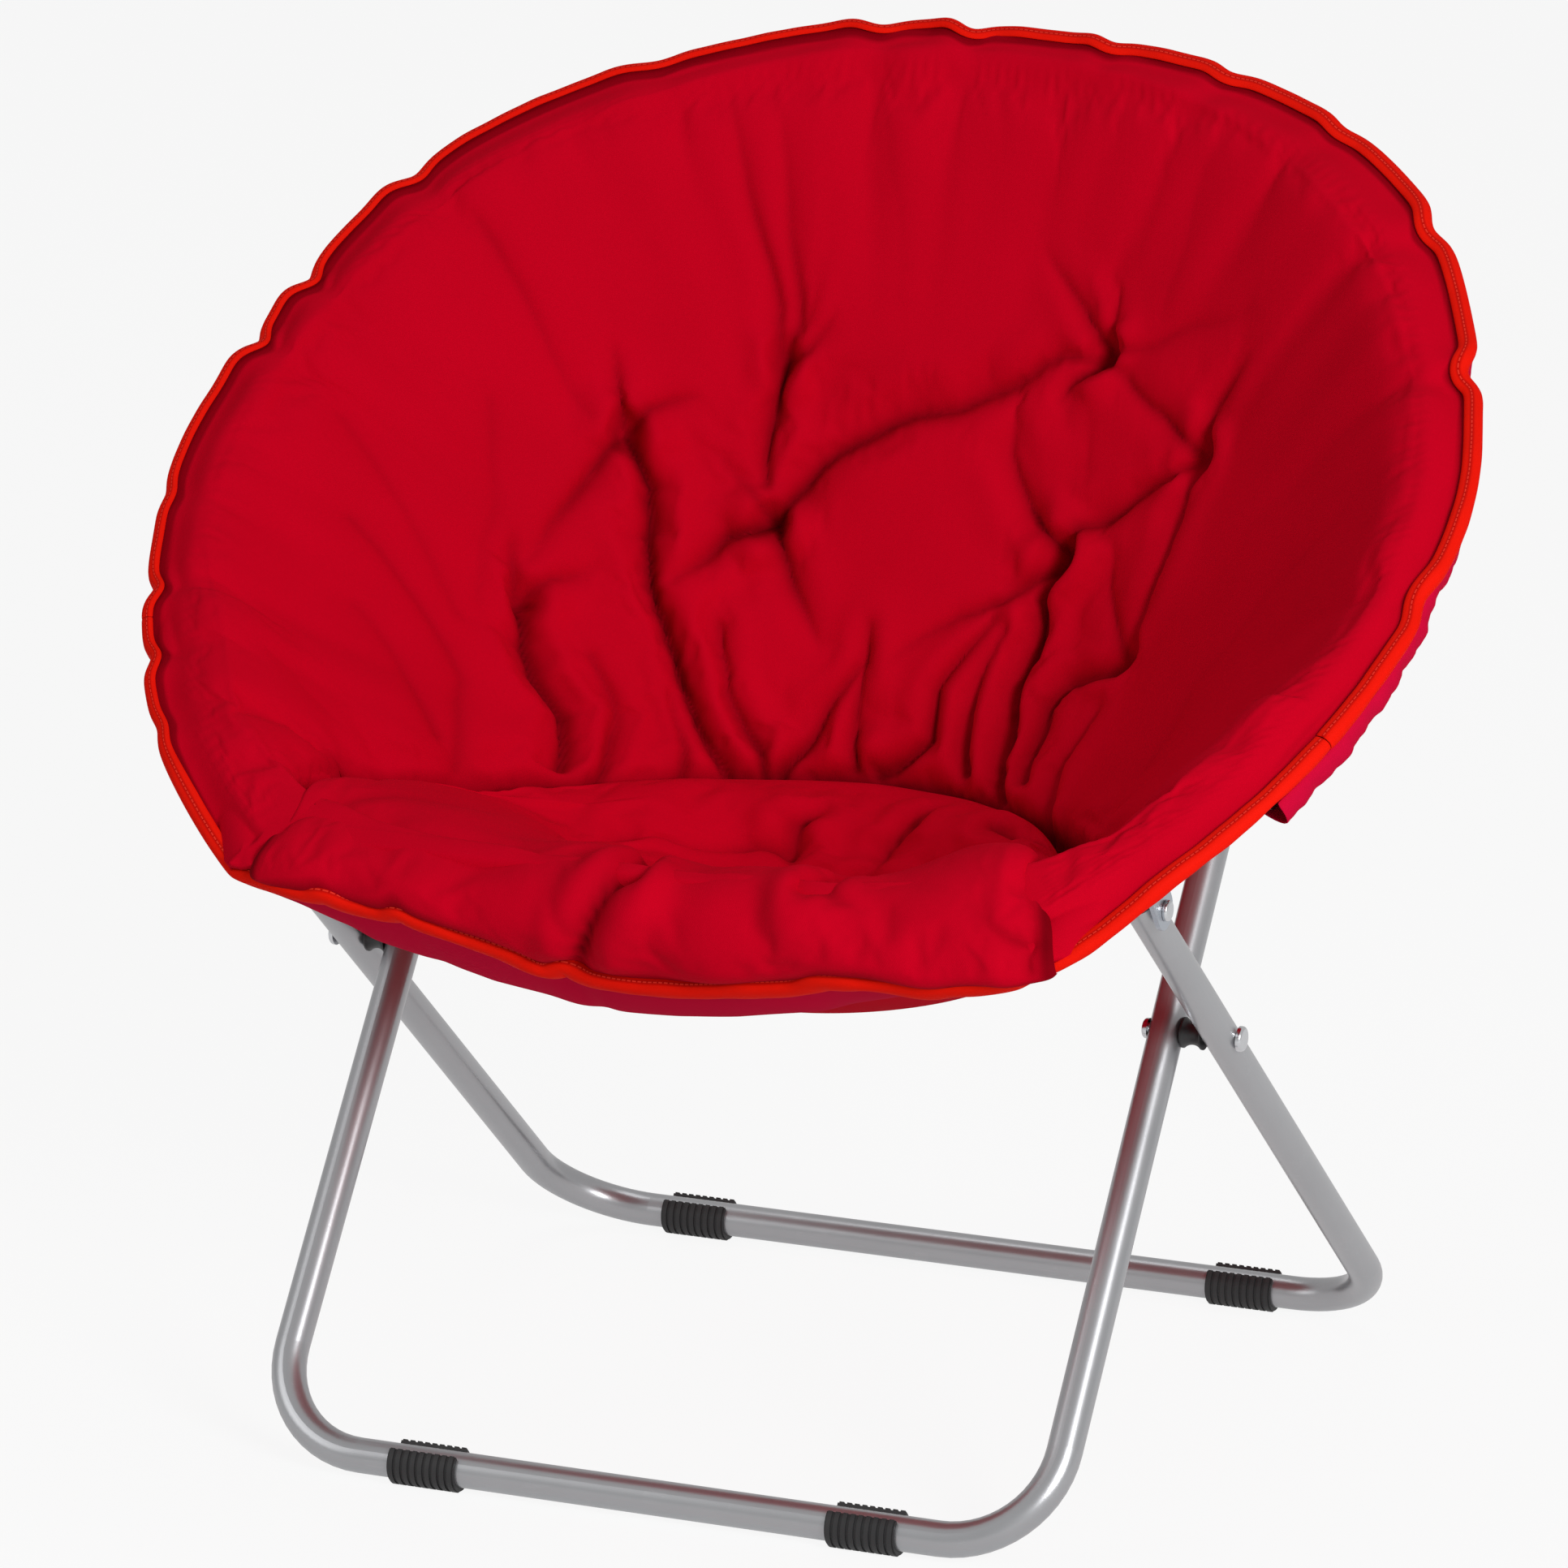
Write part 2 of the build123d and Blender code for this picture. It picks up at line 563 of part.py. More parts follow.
def roll_section(x):
    """Cross-section of the front roll: down to the seat, over the bar and down its front."""
    place = abs(x) / ROLL_HALF_WIDTH
    share = 1 - (1 - ROLL_END_SHARE) * place**ROLL_END_POWER
    inner = TUBE_R + ROLL_GAP
    outer = inner + ROLL_THICKNESS * share
    hang = max(ROLL_LEAST_HANG, lip_drop(x) - LIP_R - LIP_GAP)
    tuck = max(ROLL_LEAST_HANG, ROLL_TUCK * share - skin_height(x, SEAT_FRONT_T))
    plane = Plane(origin=(x, FRONT_BAR_T, 0), x_dir=(0, 1, 0), z_dir=(1, 0, 0))
    edges = [
        Line((inner, -tuck), (inner, 0)),
        ThreePointArc((inner, 0), (0, inner), (-inner, 0)),
        Line((-inner, 0), (-inner, -hang)),
        Line((-inner, -hang), (-outer, -hang)),
        Line((-outer, -hang), (-outer, 0)),
        ThreePointArc((-outer, 0), (0, outer), (outer, 0)),
        Line((outer, 0), (outer, -tuck)),
        Line((outer, -tuck), (inner, -tuck)),
    ]
    return plane * make_face(edges)


def front_roll():
    """Padded roll over the front bar, drawn in at both ends."""
    places = [2 * i / ROLL_STEPS - 1 for i in range(ROLL_STEPS + 1)]
    return loft([roll_section(place * ROLL_HALF_WIDTH) for place in places])


# ---------------------------------------------------------------- binding and pockets, in the rim frame
def ring_strip(radius, width, thickness, middle_n, t_from, t_to):
    """Band on the rim circle between two heights, on the right-hand side."""
    start = degrees(asin(t_from / radius))
    size = degrees(asin(t_to / radius)) - start
    section = Plane.XZ * Pos(radius, middle_n) * Rectangle(thickness, width)
    return Rot(0, 0, start) * revolve(section, axis=Axis.Z, revolution_arc=size)


def binding_r():
    """Middle radius of the binding band."""
    return COVER_R + BINDING_GAP + BINDING_T / 2


def back_binding():
    """Sewn edge band round the back cushion."""
    radius = binding_r()
    start = degrees(asin((HINGE_T + SEAM_GAP / 2) / radius))
    section = Plane.XZ * Pos(radius, BINDING_N) * Rectangle(BINDING_T, BINDING_W)
    band = revolve(section, axis=Axis.Z, revolution_arc=180 - 2 * start)
    return Rot(0, 0, start) * band


def front_binding():
    """Sewn edge band of the seat: two side bands and the sagging front lip."""
    side = ring_strip(
        binding_r(), BINDING_W, BINDING_T, BINDING_N, CORNER_T, HINGE_T - SEAM_GAP / 2
    )
    lip_t = FRONT_BAR_T - TUBE_R - ROLL_GAP - ROLL_THICKNESS / 2
    reach = sqrt(COVER_R**2 - CORNER_T**2)
    arc_ends = [Vector(x, lip_t, -lip_drop(reach)) for x in (-reach, reach)]
    lip = ThreePointArc(arc_ends[0], (0, lip_t, -lip_drop(0)), arc_ends[1])
    return side + mirror(side, about=Plane.YZ) + tube_along(lip, LIP_R, 0)


def ear_slot():
    """Cut in the pocket that the back ear passes through."""
    x_from = INNER_HALF_WIDTH + TUBE_R + EAR_LEG_GAP - SLOT_GAP
    hoop_t = sqrt(BACK_HOOP_R**2 - (x_from + EAR_T / 2) ** 2)
    width = EAR_T + 2 * SLOT_GAP
    return rim_link(EAR_R + SLOT_GAP, rim_tn(INNER_TOP), (hoop_t, 0), x_from, width)


def back_pocket():
    """Fabric sleeve wall outside the back hoop, with a narrow return under it."""
    wall_r = BACK_HOOP_R + TUBE_R + POCKET_GAP
    top = TUBE_R + COVER_SEAT_GAP - POCKET_TOP_GAP
    start = degrees(asin(POCKET_END_T / wall_r))
    outline = Polyline(
        (wall_r, top), (wall_r + POCKET_T, top), (wall_r + POCKET_T, POCKET_BOTTOM),
        (wall_r - POCKET_RETURN, POCKET_BOTTOM), (wall_r - POCKET_RETURN, POCKET_BOTTOM + POCKET_T),
        (wall_r, POCKET_BOTTOM + POCKET_T), (wall_r, top),
    )
    section = Plane.XZ * make_face(outline)
    wall = revolve(section, axis=Axis.Z, revolution_arc=180 - 2 * start)
    wall = Rot(0, 0, start) * wall
    return wall - ear_slot() - mirror(ear_slot(), about=Plane.YZ)


def front_pocket():
    """Fabric sleeve under the front bar, hanging below the roll."""
    inner = TUBE_R + FRONT_POCKET_GAP
    outer = inner + POCKET_T
    plane = Plane(origin=(-FRONT_POCKET_HALF, FRONT_BAR_T, 0), x_dir=(0, 1, 0), z_dir=(1, 0, 0))
    edges = [
        Line((-outer, 0), (-inner, 0)),
        ThreePointArc((-inner, 0), (0, -inner), (inner, 0)),
        Line((inner, 0), (outer, 0)),
        ThreePointArc((outer, 0), (0, -outer), (-outer, 0)),
    ]
    return extrude(plane * make_face(edges), amount=2 * FRONT_POCKET_HALF)


# ---------------------------------------------------------------- the chair
def build():
    """Make every piece in place, by node name."""
    parts = {"inner_leg": inner_leg(), "outer_leg": outer_leg()}
    parts["back_hoop"] = RIM * tube_along(back_path())
    parts["front_hoop"] = RIM * tube_along(front_path())
    both_sides("back_hinge", RIM * back_hinge(), parts)
    both_sides("front_hinge", RIM * front_hinge(), parts)
    both_sides("back_hinge_pin", RIM * hinge_pin(1), parts)
    both_sides("front_hinge_pin", RIM * hinge_pin(-1), parts)
    both_sides("front_ear", RIM * front_ear(), parts)
    both_sides("front_ear_pin", ear_pin(OUTER_HALF_WIDTH, OUTER_TOP), parts)
    both_sides("back_ear", RIM * back_ear(), parts)
    both_sides("back_ear_pin", ear_pin(INNER_HALF_WIDTH, INNER_TOP), parts)
    both_sides("scissor_bolt", scissor_bolt(), parts)
    both_sides("scissor_spacer", scissor_spacer(), parts)
    both_sides("inner_leg_plug", leg_plug(INNER_HALF_WIDTH, INNER_LEAN, INNER_UPPER), parts)
    both_sides("outer_leg_plug", leg_plug(OUTER_HALF_WIDTH, -OUTER_LEAN, OUTER_UPPER), parts)
    both_sides("front_foot", foot(FRONT_FOOT_X, INNER_BAR), parts)
    both_sides("rear_foot", foot(REAR_FOOT_X, OUTER_BAR), parts)
    parts["back_pad"] = RIM * back_pad()
    parts["seat_pad"] = RIM * seat_pad()
    parts["front_roll"] = RIM * front_roll()
    parts["back_binding"] = RIM * back_binding()
    parts["front_binding"] = RIM * front_binding()
    parts["back_pocket"] = RIM * back_pocket()
    parts["front_pocket"] = RIM * front_pocket()
    return parts


os.makedirs("parts", exist_ok=True)
for node, piece in build().items():
    export_step(piece, f"parts/{node}.step")
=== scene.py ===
"""Looks of the folding saucer chair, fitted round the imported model.

Shapes are worked out in millimetres in the rim frame: x across the chair, t up the sloping rim
towards the back, n square to the rim and upwards. They are turned to metres in the part's frame
when a mesh is made.
"""

import logging
import math
from dataclasses import dataclass, field
from enum import Enum

import bmesh
import bpy
import numpy as np
from bpy.types import Material, Node, NodeSocket, NodeTree, Object
from mathutils import Matrix, Vector
from numpy import ndarray


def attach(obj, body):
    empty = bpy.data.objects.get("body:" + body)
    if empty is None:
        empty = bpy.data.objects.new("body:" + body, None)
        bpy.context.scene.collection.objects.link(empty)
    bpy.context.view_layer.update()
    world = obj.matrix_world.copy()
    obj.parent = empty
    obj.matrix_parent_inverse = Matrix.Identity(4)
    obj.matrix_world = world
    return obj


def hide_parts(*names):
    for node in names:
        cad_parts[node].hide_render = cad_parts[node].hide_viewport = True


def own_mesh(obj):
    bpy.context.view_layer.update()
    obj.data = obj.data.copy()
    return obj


Triple = Colour = tuple[float, float, float]
Triples = tuple[Triple, ...]
Pairs = tuple[tuple[float, float], ...]

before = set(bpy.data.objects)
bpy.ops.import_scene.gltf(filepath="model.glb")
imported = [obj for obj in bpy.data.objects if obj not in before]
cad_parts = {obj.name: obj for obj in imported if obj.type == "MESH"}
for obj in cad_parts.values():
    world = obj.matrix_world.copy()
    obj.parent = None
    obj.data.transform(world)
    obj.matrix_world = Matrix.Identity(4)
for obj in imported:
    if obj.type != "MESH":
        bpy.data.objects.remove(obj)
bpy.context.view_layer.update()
LOG = logging.getLogger("saucer_chair")
MM = 0.001
FULL_TURN = 6.28  # in radians, for random waves only
FAR = 1e3  # millimetres from a tube that isn't there
DEEP = -400.0  # height in rim millimetres that lies below everything


# ---------------------------------------------------------------- frame and curves
@dataclass(frozen=True)
class RimFrame:
    """Where the sloping rim lies: its tilt in degrees and its centre in millimetres."""

    tilt: float = 37.0
    origin: Triple = (0.0, -31.8, 574.4)

    def axes(self) -> ndarray:
        """Rows are the x, t and n directions in the part's frame."""
        c, s = math.cos(math.radians(self.tilt)), math.sin(math.radians(self.tilt))
        return np.array([[1, 0, 0], [0, c, s], [0, -s, c]], float)

    def world(self, points: ndarray) -> ndarray:
        """Turn rim millimetres into metres in the part's frame.

        Args:
            points: array whose last axis holds x, t and n.

        Returns:
            The same points in metres.
        """
        return (points @ self.axes() + np.array(self.origin)) * MM

    def rim(self, points: ndarray) -> ndarray:
        """Turn metres in the part's frame into rim millimetres."""
        return (points / MM - np.array(self.origin)) @ self.axes().T

    def normal(self) -> Triple:
        """Direction square to the rim, upwards."""
        return tuple(float(v) for v in self.axes()[2])

    def anchor(self, height: float) -> Triple:
        """Point in metres at a height in millimetres above the rim's centre."""
        return tuple(float(v) for v in self.world(np.array([0.0, 0.0, height])))


RIM = RimFrame()


class Half(Enum):
    """Which side of the rim hinge a cloth piece is cut for."""

    BACK = "back_rim"
    FRONT = "front_rim"


def smoothstep(low: float, high: float, value: ndarray) -> ndarray:
    """Smooth rise from 0 at low to 1 at high."""
    share = np.clip((value - low) / (high - low), 0, 1)
    return share * share * (3 - 2 * share)


def soft_max(a: ndarray, b: ndarray, width: float) -> ndarray:
    """Larger of two heights with a rounded change-over of the given width."""
    return np.maximum(a, b) + width * np.log1p(np.exp(-np.abs(a - b) / width))


def bell(value: ndarray, middle: float, width: float) -> ndarray:
    """Rounded hump of height 1 at middle."""
    return np.exp(-(((value - middle) / width) ** 2))


def bumps(table: Triples, value: ndarray) -> ndarray:
    """Sum of rounded humps, each given by its middle, width and height."""
    return sum(height * bell(value, middle, width) for middle, width, height in table)


def smoothed(values: ndarray, passes: int) -> ndarray:
    """Average each value with its neighbours a number of times, with both ends kept."""
    out = values.copy()
    for _ in range(passes):
        out[1:-1] = 0.5 * out[1:-1] + 0.25 * (out[:-2] + out[2:])
    return out


def unit(vectors: ndarray) -> ndarray:
    """Vectors of length 1 in the same directions."""
    return vectors / np.linalg.norm(vectors, axis=-1, keepdims=True)


def rim_angle(x: ndarray, t: ndarray) -> ndarray:
    """Angle round the rim in degrees, from -90 at the front over the right side to 270."""
    angle = np.degrees(np.arctan2(t, x))
    return np.where(angle < -90, angle + 360, angle)


def unevenness(
    rng: np.random.Generator, count: int, waves: tuple[float, float], flatness: float, x: ndarray, t: ndarray
) -> ndarray:
    """Sum of random straight waves in millimetres.

    Args:
        rng: source of the random draws.
        count: number of waves.
        waves: shortest and longest wave.
        flatness: length of a wave divided by its height.
        x: first coordinate of each place.
        t: second coordinate of each place.

    Returns:
        The height at each place.
    """
    out = np.zeros(x.shape)
    for _ in range(count):
        wave, turn, phase = (rng.uniform(*span) for span in (waves, (0, math.pi), (0, FULL_TURN)))
        across = x * math.cos(turn) + t * math.sin(turn)
        out = out + np.sin(across * FULL_TURN / wave + phase) * wave / flatness
    return out


@dataclass(frozen=True)
class FoldProfile:
    """Section that all folds share: lengths are shares of a fold's width, or millimetres."""

    fade_power: float = 1.4
    valley_width: float = 0.62
    valley_power: float = 1.15
    lip_height: float = 0.42
    lip_place: float = 2.3
    lip_width: float = 1.5
    # line and halo shape the painted shade along a fold; full_dark_depth is the depth at which it is darkest
    line_share: float = 0.74
    line_mm: float = 2.7
    line_power: float = 1.5
    halo_mm: float = 9.0
    full_dark_depth: float = 12.0


PROFILE = FoldProfile()


@dataclass(frozen=True)
class Crease:
    """A sewn-in fold of the cushion, drawn from its tuft outwards.

    The depth fades from the first point to the last, and each fold has a raised lip on both sides. Its line
    also gives a mask of painted shade.
    """

    points: Pairs
    depth: float = 7.0
    width: float = 6.0
    end: float = 0.0
    start: float = 1.0

    def fields(self, x: ndarray, y: ndarray) -> tuple[ndarray, ndarray]:
        """Work out the fold at each place.

        Args:
            x: first coordinate of each place.
            y: second coordinate of each place.

        Returns:
            The drop in millimetres and a painted shade mask that is 1 on the fold's line.
        """
        best = np.full(x.shape, 1e9)
        along = np.zeros(x.shape)
        knots = np.array(self.points, float)
        steps = np.hypot(*(knots[1:] - knots[:-1]).T)
        total = steps.sum()
        run = 0.0
        for a, b, step in zip(knots[:-1], knots[1:], steps):
            d = (b - a) / step
            s = np.clip((x - a[0]) * d[0] + (y - a[1]) * d[1], 0, step)
            gap = np.hypot(x - a[0] - s * d[0], y - a[1] - s * d[1])
            nearer = gap < best
            best = np.where(nearer, gap, best)
            along = np.where(nearer, (run + s) / total, along)
            run += step
        p = PROFILE
        strength = self.start + (self.end - self.start) * along**p.fade_power
        valley = np.exp(-((best / (p.valley_width * self.width)) ** p.valley_power))
        lips = p.lip_height * bell(best, p.lip_place * self.width, p.lip_width * self.width)
        # painted shade: a dark line with a soft halo along the fold
        line = p.line_share * np.exp(-((best / p.line_mm) ** p.line_power))
        line = line + (1 - p.line_share) * bell(best, 0.0, p.halo_mm)
        return self.depth * strength * (valley - lips), strength * line


def folded(folds: tuple[Crease, ...], x: ndarray, y: ndarray) -> tuple[ndarray, ndarray]:
    """Drop of the skin by a set of folds, and the painted shade along them at each place."""
    drop, mask = np.zeros(x.shape), np.zeros(x.shape)
    for fold in folds:
        d, m = fold.fields(x, y)
        drop = drop + d
        mask = np.maximum(mask, m * min(1.0, fold.depth / PROFILE.full_dark_depth))
    return drop, mask


# ---------------------------------------------------------------- the round outline
@dataclass(frozen=True)
class Outline:
    """Edge of the cover, as distance from the rim's centre by angle, with its gathered notches."""

    base: float = 417.5
    shoulders: Triples = (
        (42.0, 22.0, 15.5), (143.0, 20.0, 12.0), (180.0, 9.0, 6.0), (8.0, 10.0, 7.0),
        (88.0, 18.0, -11.0), (-30.0, 16.0, -3.5), (215.0, 9.0, 2.0), (160.0, 8.0, -3.0), (116.0, 8.0, -4.0),
    )
    notches: Triples = (
        (92.0, 1.6, 7.0), (101.0, 1.8, 6.0), (66.0, 1.6, 4.0), (21.0, 1.5, 8.0), (38.0, 1.8, 6.0),
        (-4.0, 2.0, 5.0), (146.0, 1.8, 8.0), (160.0, 1.6, 9.0), (168.0, 1.7, 10.0),
        (186.0, 1.5, 3.0), (197.0, 1.5, 6.5), (205.0, 1.5, 6.0), (122.0, 2.2, 4.0),
        (213.0, 1.6, 3.0), (78.0, 1.5, 4.0), (53.0, 1.6, 3.0),
    )
    edge_n: float = 14.0
    right_corner: float = -50.0
    left_corner: float = 230.0
    corner_ease: float = 13.0
    lip_knots: Triples = (
        (248, -327, -1), (217, -332, -8), (190, -333, -12), (145, -334, -13), (90, -334, -28),
        (34, -334, -41), (-8, -334, -45), (-50, -334, -40), (-95, -334, -22), (-137, -333, -7),
        (-191, -331, 2), (-235, -326, 3),
    )

    lip_waves: Triples = ((1.6, 21.0, 0.6), (1.0, 11.0, 2.0))
    lip_bumps: Triples = (
        (-50.0, 8.0, 8.0), (-68.0, 11.0, -5.0), (120.0, 12.0, 3.0), (-150.0, 8.0, 5.0), (-200.0, 8.0, 4.0),
        (185.0, 14.0, -3.0),
    )

    def radius(self, angle: ndarray) -> ndarray:
        """Distance of the edge from the rim's centre at each angle in degrees."""
        banks = tuple((middle, 3.2 * width, 0.20 * height) for middle, width, height in self.notches)
        return self.base + bumps(self.shoulders + banks, angle) - bumps(self.notches, angle)

    def side_height(self, angle: ndarray) -> ndarray:
        """Height of the edge above the rim, with a small wave at each notch."""
        crests = tuple((m + 0.9 * w, 1.2 * w, 0.45 * h) for m, w, h in self.notches)
        dips = tuple((m - 1.2 * w, 1.4 * w, -0.30 * h) for m, w, h in self.notches)
        drop = smoothstep(self.right_corner + self.corner_ease, self.right_corner, angle)
        drop = drop + smoothstep(self.left_corner - self.corner_ease, self.left_corner, angle)
        return self.edge_n + bumps(crests + dips, angle) - self.edge_n * drop

    def side_points(self, angle: ndarray) -> ndarray:
        """Edge points in rim millimetres at angles from one corner over the top to the other."""
        a = np.radians(angle)
        r = self.radius(angle)
        return np.stack([r * np.cos(a), r * np.sin(a), self.side_height(angle)], -1)

    def lip_points(self, count: int) -> ndarray:
        """Points of the sagging front edge from the right corner to the left one."""
        ends = self.side_points(np.array([self.right_corner, self.left_corner]))
        knots = np.concatenate([ends[:1], np.array(self.lip_knots, float), ends[1:]])
        x = np.linspace(ends[0, 0], ends[1, 0], count)
        passes = count * count // 2500 + 8  # the same rounding in millimetres at any spacing
        t, n = (smoothed(np.interp(-x, -knots[:, 0], knots[:, k]), passes) for k in (1, 2))
        wave = sum(height * np.sin(x / length + phase) for height, length, phase in self.lip_waves)
        fade = smoothstep(0, 30, np.minimum(x - ends[1, 0], ends[0, 0] - x))
        return np.stack([x, t - 0.6 * wave * fade, n + (wave + bumps(self.lip_bumps, x)) * fade], -1)


OUTLINE = Outline()


@dataclass(frozen=True)
class HoopLine:
    """Centre line of the rim tubes that the cover lies over."""

    back_r: float = 402.0
    front_r: float = 378.0
    side_angle: float = 30.6
    hinge_t: float = -144.0
    bar_t: float = -308.0
    bar_half: float = 262.0
    bar_reach_t: float = -290.0
    overlap: float = 25.0
    block_place: tuple[float, float] = (358.0, -126.0)
    block_size: tuple[float, float] = (26.0, 40.0)

    def block(self, x: ndarray, t: ndarray) -> ndarray:
        """How far each place lies over a hinge block, from 0 to 1."""
        places = zip((np.abs(x), t), self.block_place, self.block_size)
        return math.prod(bell(value, middle, width) for value, middle, width in places)

    def distance(self, x: ndarray, t: ndarray) -> ndarray:
        """Distance from each place to the nearer rim tube's centre line."""
        r = np.hypot(x, t)
        back = np.where(t > self.hinge_t - self.overlap, np.abs(r - self.back_r), FAR)
        turn = math.radians(self.side_angle)
        leave_t = -self.front_r * math.sin(turn)
        leave_x = self.front_r * math.cos(turn)
        run = np.abs((np.abs(x) - leave_x + (leave_t - t) * math.tan(turn)) * math.cos(turn))
        front = np.where(t > leave_t, np.abs(r - self.front_r), run)
        front = np.where(t < self.hinge_t + self.overlap, front, FAR)
        at_bar = (np.abs(x) < self.bar_half) & (t < self.bar_reach_t)
        bar = np.where(at_bar, np.abs(t - self.bar_t), FAR)
        return np.minimum(np.minimum(back, front), bar)


HOOPS = HoopLine()


# ---------------------------------------------------------------- mesh helpers
def set_all(target: object, **values: object) -> None:
    """Set several properties of one thing."""
    for name, value in values.items():
        setattr(target, name, value)


def place_object(name: str, data: bpy.types.ID) -> Object:
    """Put a mesh, a lamp or a camera into the scene as a new object."""
    made = bpy.data.objects.new(name, data)
    bpy.context.scene.collection.objects.link(made)
    return made


def grid_quads(rows: int, columns: int) -> ndarray:
    """Corner numbers of the squares of a grid of points, one row of four for each square."""
    number = np.arange(rows * columns).reshape(rows, columns)
    a, b = number[:-1, :-1], number[:-1, 1:]
    c, d = number[1:, 1:], number[1:, :-1]
    return np.stack([a, b, c, d], -1).reshape(-1, 4)


def make_piece(
    name: str, points: ndarray, quads: ndarray, flat: ndarray,
    fold: ndarray | None = None, slots: ndarray | None = None,
) -> Object:
    """Make a mesh object from rim points.

    Args:
        name: the piece's name.
        points: places in rim millimetres.
        quads: corner numbers of each square.
        flat: cloth coordinates of each point in millimetres, kept as the UV map.
        fold: painted shade at each point, in folds, at tufts and under the tape, from 0 to 1.
        slots: material number of each square.

    Returns:
        The new object, at the origin.
    """
    mesh = bpy.data.meshes.new(name)
    mesh.from_pydata(RIM.world(points).tolist(), [], quads.tolist())
    layer = mesh.uv_layers.new(name="cloth")
    layer.data.foreach_set("uv", (flat[quads.ravel()] * MM).astype(np.float32).ravel())
    # the fold attribute carries painted shade for the cloth materials
    mask = mesh.attributes.new("fold", "FLOAT", "POINT")
    values = np.zeros(len(points)) if fold is None else fold
    mask.data.foreach_set("value", values.astype(np.float32))
    if slots is not None:
        mesh.polygons.foreach_set("material_index", slots.astype(np.int32))
    mesh.polygons.foreach_set("use_smooth", np.ones(len(quads), bool))
    mesh.update()
    return place_object(name, mesh)


def closed_shell(
    name: str, top: ndarray, low: ndarray, flat: ndarray, fold: ndarray, low_slot: int, flipped: bool
) -> Object:
    """Join an upper and a lower grid of points by a wall round their edge.

    Args:
        name: the piece's name.
        top: grid of upper points in rim millimetres.
        low: grid of lower points.
        flat: cloth coordinates of all points.
        fold: painted shade at each upper point.
        low_slot: material number of the lower side.
        flipped: whether the grids run the other way round.

    Returns:
        The closed piece.
    """
    rows, columns = top.shape[:2]
    count = rows * columns
    number = np.arange(count).reshape(rows, columns)
    ring = np.concatenate([number[0, :-1], number[:-1, -1], number[-1, :0:-1], number[:0:-1, 0]])
    follow = np.roll(ring, -1)
    upper = grid_quads(rows, columns)
    wall = np.stack([ring, ring + count, follow + count, follow], -1)
    quads = np.concatenate([upper, upper[:, ::-1] + count, wall])
    quads = quads[:, ::-1] if flipped else quads
    slots = np.repeat([0, low_slot, 0], [len(upper), len(upper), len(wall)])
    points = np.concatenate([top.reshape(-1, 3), low.reshape(-1, 3)])
    return make_piece(name, points, quads, flat, np.concatenate([fold.ravel(), np.zeros(count)]), slots)


def only(piece: Object) -> None:
    """Select one object and nothing else."""
    bpy.ops.object.select_all(action="DESELECT")
    piece.select_set(True)
    bpy.context.view_layer.objects.active = piece


def read_points(piece: Object) -> ndarray:
    """Places of a mesh's points in rim millimetres."""
    flat = np.empty(len(piece.data.vertices) * 3, np.float32)
    piece.data.vertices.foreach_get("co", flat)
    return RIM.rim(flat.reshape(-1, 3).astype(float))


def write_points(piece: Object, points: ndarray) -> None:
    """Put a mesh's points at places in rim millimetres."""
    piece.data.vertices.foreach_set("co", RIM.world(points).astype(np.float32).ravel())
    piece.data.update()


def applied(piece: Object, kind: str, **settings: object) -> Object:
    """Give a mesh a modifier with its settings, apply it and return the mesh."""
    only(piece)
    modifier = piece.modifiers.new(kind.lower(), kind)
    set_all(modifier, **settings)
    bpy.ops.object.modifier_apply(modifier=modifier.name)
    return piece


def subdivided(piece: Object) -> Object:
    """Round a mesh off by one level of subdivision."""
    return applied(piece, "SUBSURF", levels=1, render_levels=1)


def thickened(piece: Object, thickness: float) -> Object:
    """Give a single skin the thickness of cloth in millimetres."""
    return applied(piece, "SOLIDIFY", thickness=thickness * MM, offset=0.0)


def cut_half(piece: Object, name: str, half: Half) -> Object:
    """Copy of a piece that ends at the hinge line of the rim, closed where it is cut.

    Args:
        piece: the whole piece.
        name: name of the copy.
        half: which side is kept.

    Returns:
        The copy.
    """
    mesh = piece.data.copy()
    mesh.name = name
    body = bmesh.new()
    body.from_mesh(mesh)
    place = RIM.world(np.array([0.0, HOOPS.hinge_t, 0.0]))
    bmesh.ops.bisect_plane(
        body,
        geom=body.verts[:] + body.edges[:] + body.faces[:],
        dist=1e-6,
        plane_co=Vector(place),
        plane_no=Vector(RIM.axes()[1]),
        clear_inner=half is Half.BACK,
        clear_outer=half is Half.FRONT,
    )
    rims = [e for e in body.edges if e.is_boundary]
    closed = bmesh.ops.holes_fill(body, edges=rims, sides=0)["faces"]
    for face in closed:
        face.smooth = False
        for edge in face.edges:
            edge.smooth = False
    bmesh.ops.triangulate(body, faces=closed)
    body.to_mesh(mesh)
    body.free()
    return place_object(name, mesh)


